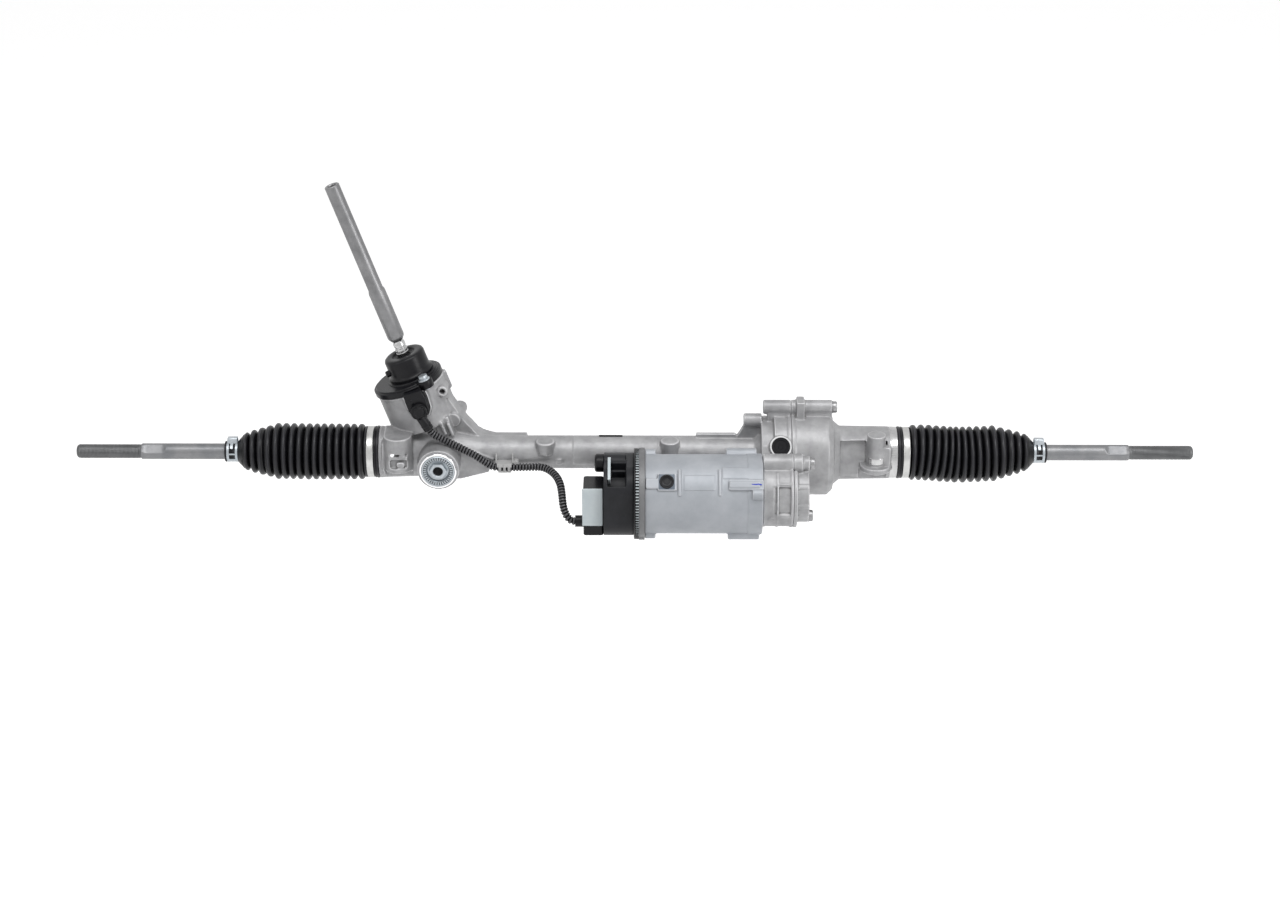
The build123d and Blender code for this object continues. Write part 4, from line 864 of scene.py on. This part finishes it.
def makeBand(name, s):
    x = s["start"]
    crown = [
        (x, 27.82), (x, 28.5), (x + 0.5, 28.78), (x + 1.4, 28.6), (x + 3.6, 28.72),
        (x + 5.8, 28.6), (x + 6.7, 28.78), (x + 7.2, 28.5), (x + 7.2, 27.82),
    ]
    buckle = arc(rackLine, x + 0.8, x + 6.4, 28.5, 30.6, 196, 214, 12, 0.5)
    makePiece(name, [turned(crown, rackLine, 128), buckle], "bandSteel", s["node"])


for bandName, bandSpec in bands.items():
    makeBand(bandName, bandSpec)


# ear clamps round the boots' narrow ends
clampShape = {
    "width": 12.6,
    "rim": 3.0,
    "inner": cuffRadius + 0.03,
    "outer": 11.8,
    "spans": ((104, 335), (3, 11)),  # of the thinner middle, in degrees
    "tongue": (37, 82),
    "earAngle": 98.0,
    "ear": [
        (-5.6, 10.6), (-4.6, 15.6), (-3.8, 16.5), (3.8, 16.5), (4.6, 15.6),
        (5.6, 10.6), (4.5, 10.6), (3.6, 15.2), (-3.6, 15.2), (-4.5, 10.6),
    ],
}
clamps = {
    "clampLeft": {"start": -239.2, "body": "rod_left", "node": "rod_clamp_left"},
    "clampRight": {"start": 662.2, "body": "rod_right", "node": "rod_clamp_right"},
}


def makeClamp(name, s):
    c = clampShape
    x0, x1 = s["start"], s["start"] + c["width"]
    inner, outer, rim = c["inner"], c["outer"], c["rim"]
    shapes = [turned(strip(x, x + rim, inner, outer), rackLine, 80) for x in (x0, x1 - rim)]
    for first, last in c["spans"]:
        shapes.append(arc(rackLine, x0 + rim - 0.2, x1 - rim + 0.2, inner + 0.1, outer - 0.15, first, last, 40, 0.1))
    shapes.append(arc(rackLine, x0 + 4.3, x1 - 4.9, outer - 0.5, outer + 0.7, *c["tongue"], 14))
    a = radians(c["earAngle"])
    earPlane = (crossing, alongX, Vector((0, sin(a), cos(a))), Vector((0, -cos(a), sin(a))))
    shapes.append(prism(c["ear"], earPlane, x0 + 0.9, x1 - 0.9, 0.3))
    makePiece(name, shapes, "zincPlate", s["node"], s["body"])


for clampName, clampSpec in clamps.items():
    makeClamp(clampName, clampSpec)
print("bands and clamps made")


# tie rods: ball, neck, forged rod, spanner flats and rolled thread
rodShape = {
    "ball": 14.0,
    "neck": 7.0,
    "pitch": 1.5,
    "threadRadius": 8.0,
    "threadDepth": 0.55,
    "threadStep": 0.25,
    "flatsAcross": 13.6,
    "flatsTurn": 47.0,
}
rods = {
    "tieRodLeft": {
        "way": -1, "ball": -158.5, "flats": (-307.4, -334.3), "tip": -407.7, "body": "rod_left", "node": "tie_rod_left",
    },
    "tieRodRight": {
        "way": 1, "ball": 596.4, "flats": (742.7, 768.4), "tip": 841.2, "body": "rod_right", "node": "tie_rod_right",
    },
}


def rodProfile(s):
    c = rodShape
    way, ball, tip = s["way"], s["ball"], s["tip"]
    flatFrom, flatTo = s["flats"]
    ballRadius, neck, thread = c["ball"], c["neck"], c["threadRadius"]
    profile = []
    for n in range(25):
        a = radians(180 - n * 150 / 24)
        profile.append((ball + way * ballRadius * cos(a), ballRadius * sin(a)))
    profile[0] = (profile[0][0], 0.0)
    profile += [(ball + way * 13.0, neck), (ball + way * 30, neck), (ball + way * 34, neck + 0.5)]
    profile += [(ball + way * 38, rodRadius - 0.1), (ball + way * 40, rodRadius)]
    profile += [(flatFrom + way * u, rodRadius) for u in (-2.0, -1.0, 0, 1.0, 2.0, 3.4, 5.2)]
    profile += [(flatTo - way * u, rodRadius) for u in (5.2, 3.4, 2.0, 1.0, 0)]
    threadFrom, threadTo = flatTo + way * 3.0, tip - way * 3.6
    profile += [(flatTo + way * 0.7, rodRadius - 0.35), (flatTo + way * 1.3, thread - 0.4), (threadFrom, thread - 0.4)]
    count = int(abs(threadTo - threadFrom) / c["threadStep"])
    profile += [(threadFrom + (threadTo - threadFrom) * n / count, thread) for n in range(1, count + 1)]
    profile += [(tip - way * 2.2, 7.5), (tip - way * 1.0, 6.6), (tip - way * 0.3, 5.4), (tip, 4.2), (tip, 0.0)]
    return profile


def makeRod(name, s):
    c = rodShape
    way = s["way"]
    flatFrom, flatTo = s["flats"]

    def wave(along, radius, a):
        # the thread's groove, and the two flats that run out at both ends
        if radius == c["threadRadius"]:
            turnPlace = (along / c["pitch"] + a / (2 * pi)) % 1.0
            return 0.0, -c["threadDepth"] * (1 - abs(2 * turnPlace - 1))
        inside = min(way * (along - flatFrom), way * (flatTo - along))
        if inside > 0 and radius == rodRadius:
            facing = abs(cos(a - radians(c["flatsTurn"])))
            ease = min(1.0, inside / 4.6)
            flat = rodRadius - (rodRadius - c["flatsAcross"] / 2) * (1 - (1 - ease) ** 2.2)
            return 0.0, min(0.0, flat / max(facing, 0.05) - rodRadius)
        return 0.0, 0.0

    shape = turned(rodProfile(s), rackLine, 72, wave=wave)
    rod = makePiece(name, [shape], "rodSteel", s["node"], s["body"], sharp=46)
    paintFaces(rod, "threadSteel", lambda number, place: way * (place.x - flatTo) > 1.2)


for rodName, rodSpec in rods.items():
    makeRod(rodName, rodSpec)
print("tie rods made")


# small fixed pieces: the machined land by the right boot, the sleeve on the right seat,
# the strip on the tube, and the pin in the block's window
fittings = {
    "land": [
        (500.1, 27.0), (500.1, 28.7), (500.5, 28.95), (508.4, 28.95), (508.9, 28.5), (509.1, 26.6), (509.1, 26.0),
    ],
    "sleeve": [
        (1.0, 9.6), (1.0, 10.4), (2.2, 10.55), (3.1, 10.3), (4.0, 10.6),
        (5.2, 10.35), (6.2, 10.6), (8.2, 10.5), (8.6, 10.3), (8.6, 9.6),
    ],
    "sleeveAt": (seamX + 94, -27.0),
    "sleeveSpan": (radians(215), radians(325)),
    "strip": (26.4, 3.6, (189.8, 1.0)),  # width, height, middle
    "pin": [(33, 0.0), (33, 2.6), (38.9, 2.6), (39.4, 2.0), (39.4, 0.5), (38.9, 0.0)],
    "pinAt": (-51.2, 13.2),
}


def makeFittings():
    s = fittings
    sleeve = turned(s["sleeve"], moved(topLine, 0, *s["sleeveAt"]), 64, s["sleeveSpan"])
    bar = prism(roundCorners(boxOutline(*s["strip"]), 0.8, 3), topLine, 17.8, 19.7, 0.2)
    pin = turned(s["pin"], moved(yokeLine, 0, *s["pinAt"]), 32)
    makePiece("landRight", [turned(s["land"], rackLine, 128)], "machinedSteel")
    makePiece("mountSleeve", [sleeve], "machinedSteel")
    makePiece("tubeStrip", [bar], "deepBlack")
    makePiece("blockPin", [pin], "brightSteel")


makeFittings()


# yoke plug: rim, ring of fine serrations, sunk floor with a raised hexagon round a dark socket. The groove under the
# serrations and the sunk floor take a darker finish, and the socket is a deep black piece, all painted shade
plugSpec = {"back": 42.0, "front": 52.9, "outer": 18.0, "floor": 3.5, "serrations": 36, "hexagon": 8.35}


def makeYokePlug():
    s = plugSpec
    front, outer, hexagon = s["front"], s["outer"], s["hexagon"]
    floor = front - s["floor"]
    rim = [
        (s["back"], 0.0), (s["back"], 16.9), (front - 3.8, 16.9), (front - 3.7, outer), (front - 0.4, outer),
        (front, outer - 0.4), (front, 16.8), (front - 1.0, 16.4), (front - 1.0, 13.2), (front - 0.1, 12.9),
        (front - 0.9, 12.3), (front - 3.3, 12.1), (floor, 11.6), (floor, 0.0),
    ]
    tooth = [(front - 1.1, 13.0), (front - 0.05, 13.3), (front - 0.05, 16.3), (front - 1.1, 16.6)]
    nut = [
        (front - 3.7, 5.3), (front - 3.7, hexagon), (front - 0.1, hexagon), (front + 0.3, hexagon - 0.5),
        (front + 0.4, 6.6), (front + 0.1, 5.8), (front - 0.6, 5.3),
    ]

    def sixSided(along, radius, a):
        side = pi / 3
        off = (a % side) - side / 2
        return 0.0, radius / cos(off) * 0.995 - radius if radius >= 7 else 0.0

    # painted shade: the groove floor under the serrations and the sunk floor round the hexagon take the darker finish
    def paintedShadeFloors(number, place):
        out, depth = hypot(place.x, place.z), place.y + front
        return abs(depth - 1.0) < 0.25 and 13.0 < out < 16.6 or abs(depth - s["floor"]) < 0.3 and 8.0 < out < 12.4

    shapes = [turned(rim, yokeLine, 112), *teeth(tooth, yokeLine, s["serrations"], 0.48, 1)]
    shapes.append(turned(nut, yokeLine, 96, wave=sixSided))
    paintFaces(makePiece("yokePlugFace", shapes, "zincPlate", "yoke_plug"), "paintedGrooveShade", paintedShadeFloors)
    # the socket's hollow is filled by a deep black piece, painted shade of the hole
    socket = [
        (front - 3.4, 0.0), (front - 3.4, 5.25), (front - 0.75, 5.25), (front - 0.75, 4.7),
        (front - 3.0, 3.0), (front - 3.0, 0.0),
    ]
    makePiece("yokeSocketShade", [turned(socket, yokeLine, 48)], "deepBlack")
    lock = [(49.05, 18.2), (49.05, 20.4), (51.8, 20.4), (52.3, 19.9), (52.3, 18.6), (51.9, 18.2)]
    makePiece("yokeLockRing", [turned(lock, yokeLine, 112)], "brightSteel", "yoke_ring")


makeYokePlug()


# toothed seal between the motor and the control unit, on a pale bed that is painted light: whiter than the aluminium it
# stands for, where the teeth shade it
sealSpec = {"left": 215.82, "right": 221.38, "outer": 50.0, "inner": 36.0, "toothFoot": 46.8, "teeth": 93}


def makeSeal():
    s = sealSpec
    left, right, inner, outer = s["left"], s["right"], s["inner"], s["outer"]
    tooth = strip(left + 1.8, right, s["toothFoot"], outer - 0.1)
    shapes = [turned(strip(left, left + 2.0, inner, outer, 0.5), motorLine, 160)]
    shapes += teeth(tooth, motorLine, s["teeth"], 0.52, 2)
    makePiece("motorSeal", shapes, "blackPlastic", "seal_ring", sharp=40)
    # the bed takes white plastic instead of aluminium, painted light between the shading teeth
    bed = turned(strip(left + 2.05, right, inner, outer - 0.6, 0.2), motorLine, 160)
    makePiece("paintedLightSealBed", [bed], "whitePlastic")


makeSeal()


# plug on the motor, over a thin slate-dark sheet that is painted shade of its seat, and a dash of paint on the bar
motorPlugSpec = {
    "seat": (17.6, 17.2),
    "seatAt": (251.4, 42.3),
    "plugAt": (251.5, 42.5),
    "dashAt": (348.6, 38.0),
    "rings": [
        (-1.5, 0.0), (-1.5, 8.0), (2.6, 8.0), (3.1, 7.5), (3.1, 6.6),
        (2.5, 6.2), (2.2, 5.8), (2.2, 3.2), (2.5, 2.9), (2.5, 0.0),
    ],
    "dash": [(-5.5, 0.1), (-1.0, -0.6), (2.0, -0.1), (5.4, -0.9), (5.4, 0.5), (1.8, 1.1), (-1.2, 0.7), (-5.5, 0.9)],
}


def makeMotorPlug():
    s = motorPlugSpec
    seat = prism(roundCorners(boxOutline(*s["seat"]), 0.8, 2), motorPlane(*s["seatAt"]), 1.2, 1.8, 0.1)
    dash = prism(roundCorners(s["dash"], 0.15, 2), motorPlane(*s["dashAt"]), 3.9, 4.12, 0)
    # the thin dark sheet round the plug is painted shade of its recess
    makePiece("plugSeatShadeSheet", [seat], "paintedSeatShade")
    makePiece("motorPlugFace", [turned(s["rings"], motorPlane(*s["plugAt"]), 48)], "blackPlastic", "motor_plug")
    makePiece("paintDash", [dash], "bluePaint")


makeMotorPlug()


# vent on the belt body
ventSpec = {
    "at": seamX - 12.5,
    "tilt": 31.5,
    "reach": 46.0,
    "rim": [(3.1, 9.95), (3.1, 11.9), (5.3, 12.0), (5.65, 11.7), (5.65, 10.3), (5.2, 9.95)],
    "face": [
        (3.1, 0.0), (3.1, 9.9), (4.9, 9.9), (5.25, 9.5), (5.25, 7.4), (4.6, 7.0), (4.6, 3.0), (5.0, 2.6), (5.0, 0.0),
    ],
}


def makeVent():
    s = ventSpec
    a = radians(s["tilt"])
    out = Vector((0, -cos(a), sin(a)))
    line = (Vector((s["at"], 0, 0)) + s["reach"] * out, out, alongX, Vector((0, sin(a), cos(a))))
    makePiece("ventRim", [turned(s["rim"], line, 72)], "brightSteel", "vent_ring")
    makePiece("ventFace", [turned(s["face"], line, 72)], "blackPlastic", "vent_plug")


makeVent()


# screws of the seam: flanged heads with a six-lobed socket
screwSpec = {
    "spots": ((45.5, 0, 55.4), (18, -70.0, 19.0), (18, -63.0, -48.0), (18, 50.5, 22.5), (18, 17.5, -52.5)),
    "head": [
        (0, 0.0), (0, 6.6), (0.3, 6.8), (1.0, 6.8), (1.3, 6.5), (4.3, 6.4),
        (5.2, 6.1), (5.6, 5.4), (5.6, 4.0), (5.2, 3.5), (2.6, 3.3), (2.6, 0.0),
    ],
}


def makeScrews():
    s = screwSpec
    shapes = [turned(s["head"], moved(rackLine, seamX + x + 0.05, -y, z), 48) for x, y, z in s["spots"]]
    makePiece("seamScrews", shapes, "screwSteel", "cover_screws")


makeScrews()


# torque sensor on top of the tower: flange with its screw tabs, dust cap with a breather, and fixings
sensorSpec = {
    "low": 84.04,
    "high": 92.0,
    "flange": 39.5,
    "shift": -6.5,
    "cap": 24.3,
    "capTop": 119.0,
    "portAt": 104.5,
    "portReach": 21,
    "tabRadius": 8.6,
    "screws": ((17.3, 31.0), (-14.55, -27.37)),
}


def screwTab(across, up, low, high):
    middle = Vector((across, up))
    away = middle.normalized()
    beside = Vector((-away.y, away.x))
    outline = [tuple(middle - away * 12 + beside * w) for w in (13, -13)]
    for n in range(9):
        a = radians(-90 + n * 22.5)
        outline.append(tuple(middle + (away * cos(a) + beside * sin(a)) * sensorSpec["tabRadius"]))
    return prism(outline, pinionLine, low, high, 0.5)


def makeSensorFlange():
    s = sensorSpec
    low, high, r = s["low"], s["high"], s["flange"]
    shifted = moved(pinionLine, 0, s["shift"])
    disc = [
        (low, 17.0), (low, r - 0.5), (low + 0.5, r), (high - 2.2, r), (high - 1.6, r - 0.6),
        (high - 1.5, r - 2.3), (high - 0.5, r - 2.6), (high, r - 3.1), (high, 17.0),
    ]
    skirt = [(low - 6, 30.0), (low - 6, 32.9), (low, 32.9), (low, 30.0)]
    step = [(high - 0.4, 17.2), (high - 0.4, 28.4), (high + 1.1, 28.1), (high + 1.6, 27.6), (high + 1.6, 17.2)]
    shapes = [turned(disc, shifted, 144), turned(skirt, shifted, 96), turned(step, pinionLine, 128)]
    shapes += [screwTab(*at, low + 0.3, high + 0.9) for at in s["screws"]]
    makePiece("sensorFlange", shapes, "blackPlastic", "sensor_housing")


def makeDustCap():
    s = sensorSpec
    base, top, r = s["high"] + 0.05, s["capTop"], s["cap"]
    drum = [
        (base, 9.4), (base, r + 0.8), (base + 0.5, r + 1.0), (base + 4.6, r + 1.0), (base + 5.4, r + 0.2),
        (base + 6.4, r - 0.9), (base + 9.0, r - 1.2), (top - 3.4, r - 1.3), (top - 1.4, r - 2.0), (top - 0.4, r - 3.4),
        (top, r - 4.8), (top, 13.8), (top - 0.3, 13.3), (top - 1.6, 12.9), (top - 1.8, 12.4), (top - 1.8, 9.9),
        (top - 1.5, 9.2), (top - 0.9, 8.6), (top - 2.0, 7.3), (base + 6, 7.3), (base + 6, 9.4),
    ]
    away = (-pinionAcross * 0.93 + toFront * 0.36).normalized()
    port = leaning(spot(pinionLine, s["portAt"]) + away * s["portReach"], away)
    nub = [(0, 0.0), (0, 3.9), (5.2, 3.6), (5.8, 3.1), (5.8, 2.2), (3.4, 1.9), (3.4, 0.0)]
    shapes = [turned(drum, pinionLine, 128), turned(nub, port, 32)]
    makePiece("dustCapDrum", shapes, "blackPlastic", "dust_cap", sharp=44)


def makeSensorScrews():
    s = sensorSpec
    low, high = s["low"], s["high"]
    washer = [
        (high + 0.92, 0), (high + 0.92, 6.4), (high + 1.3, 6.7), (high + 1.9, 6.6), (high + 2.8, 5.4), (high + 2.8, 0),
    ]
    angles = [2 * pi * k / 6 + 0.3 for k in range(6)]
    hexagon = roundCorners([(5.6 * cos(a), 5.6 * sin(a)) for a in angles], 0.5, 2)
    shapes = []
    for at in s["screws"]:
        line = moved(pinionLine, 0, *at)
        shapes.append(turned(washer, line, 48))
        shapes.append(prism(hexagon, line, high + 2.3, high + 6.6, 0.6))
        shapes.append(turned(post(low - 3, high + 1, 2.5), line, 20))
    makePiece("sensorFixings", shapes, "zincPlate", "sensor_screws")


makeSensorFlange()
makeDustCap()
makeSensorScrews()


# input shaft with its grooved neck and hollow end
shaftSpec = {
    "profile": [
        (52, 3.3), (52, 8.5), (98, 8.5), (98.4, 6.7), (118.6, 6.7), (119.4, 7.0), (121.2, 7.0), (121.8, 6.3),
        (123.4, 6.3), (124.0, 7.0), (126.2, 7.0), (126.8, 6.2), (128.2, 6.2), (128.8, 6.9), (132.6, 6.9), (133.2, 6.5),
        (135.6, 6.5), (137.0, 7.4), (139.4, 9.0), (141.2, 9.5), (195.6, 9.5), (197.6, 9.2), (200.2, 8.3),
        (325.2, 8.25), (326.0, 7.5), (326.0, 5.4), (325.4, 4.8), (324.0, 4.6), (287.0, 3.6), (286.5, 3.3),
        (285, 0.0), (125, 0.0), (125, 3.3),
    ],
    "brightNeck": (98, 136.5),
}


def makeShaft():
    first, last = shaftSpec["brightNeck"]
    shape = turned(shaftSpec["profile"], pinionLine, 96)
    shaft = makePiece("inputShaftTurned", [shape], "shaftSteel", "input_shaft", "input")
    paintFaces(shaft, "machinedSteel", lambda number, place: first < (place - pinionLine[0]).dot(pinionUp) < last)


makeShaft()
print("small pieces made")


# studio: a pale floor and sky that look white themselves and light the object softly
studio = {"floorLevel": -0.42, "floorSize": 30.0, "floorTone": 0.9, "floorGlow": 0.68, "skyLevel": 0.27}
lamps = {
    "topLight": {"at": (0.4, -0.7, 1.8), "size": (2.2, 0.7), "watts": 24, "look": (0.3, 0.05, 0)},
    "leftLight": {"at": (-1.8, -1.2, 1.0), "size": (1.0, 1.4), "watts": 5, "look": (0.1, 0, 0)},
    "rightLight": {"at": (2.4, -1.4, 0.9), "size": (0.8, 1.2), "watts": 18, "look": (0.4, 0, 0)},
}


def seenRay(tree):
    # 1 where the camera sees the background, directly, in gloss or through glass
    path = addNode(tree, "ShaderNodeLightPath")
    seen = path.outputs["Is Camera Ray"]
    for ray in ("Is Glossy Ray", "Is Transmission Ray"):
        either = addNode(tree, "ShaderNodeMath", linked={0: seen, 1: path.outputs[ray]}, operation="MAXIMUM")
        seen = either.outputs[0]
    return seen


def makeFloor():
    s = studio
    bpy.ops.mesh.primitive_plane_add(size=s["floorSize"], location=(0, 0, s["floorLevel"]))
    floor = bpy.context.object
    floor.name = "studioFloor"
    tree, shader = startFinish("paleFloor")
    shader.inputs["Base Color"].default_value = (*[s["floorTone"]] * 3, 1)
    shader.inputs["Roughness"].default_value = 0.9
    shader.inputs["Emission Color"].default_value = (1, 1, 1, 1)
    glow = addNode(tree, "ShaderNodeMath", {1: s["floorGlow"]}, {0: seenRay(tree)}, operation="MULTIPLY")
    tree.links.new(glow.outputs[0], shader.inputs["Emission Strength"])
    floor.data.materials.append(finishes["paleFloor"])


def makeSky():
    world = bpy.data.worlds.new("paleStudio")
    scene.world = world
    world.use_nodes = True
    tree = world.node_tree
    tree.nodes.clear()
    strength = addRange(tree, seenRay(tree), (0.0, 1.0), (studio["skyLevel"], 1.0))
    sky = addNode(tree, "ShaderNodeBackground", {"Color": (1, 1, 1, 1)}, {"Strength": strength})
    addNode(tree, "ShaderNodeOutputWorld", linked={"Surface": sky.outputs["Background"]})


def makeLamp(name, s):
    data = bpy.data.lights.new(name, "AREA")
    data.shape = "RECTANGLE"
    data.size, data.size_y = s["size"]
    data.energy = s["watts"]
    lamp = bpy.data.objects.new(name, data)
    scene.collection.objects.link(lamp)
    lamp.location = s["at"]
    aim = Vector(s["look"]) - Vector(s["at"])
    lamp.rotation_mode = "QUATERNION"
    lamp.rotation_quaternion = aim.to_track_quat("-Z", "Y")


makeFloor()
makeSky()
for lampName, lampSpec in lamps.items():
    makeLamp(lampName, lampSpec)
scene.view_settings.view_transform = "Standard"
print("studio lit")
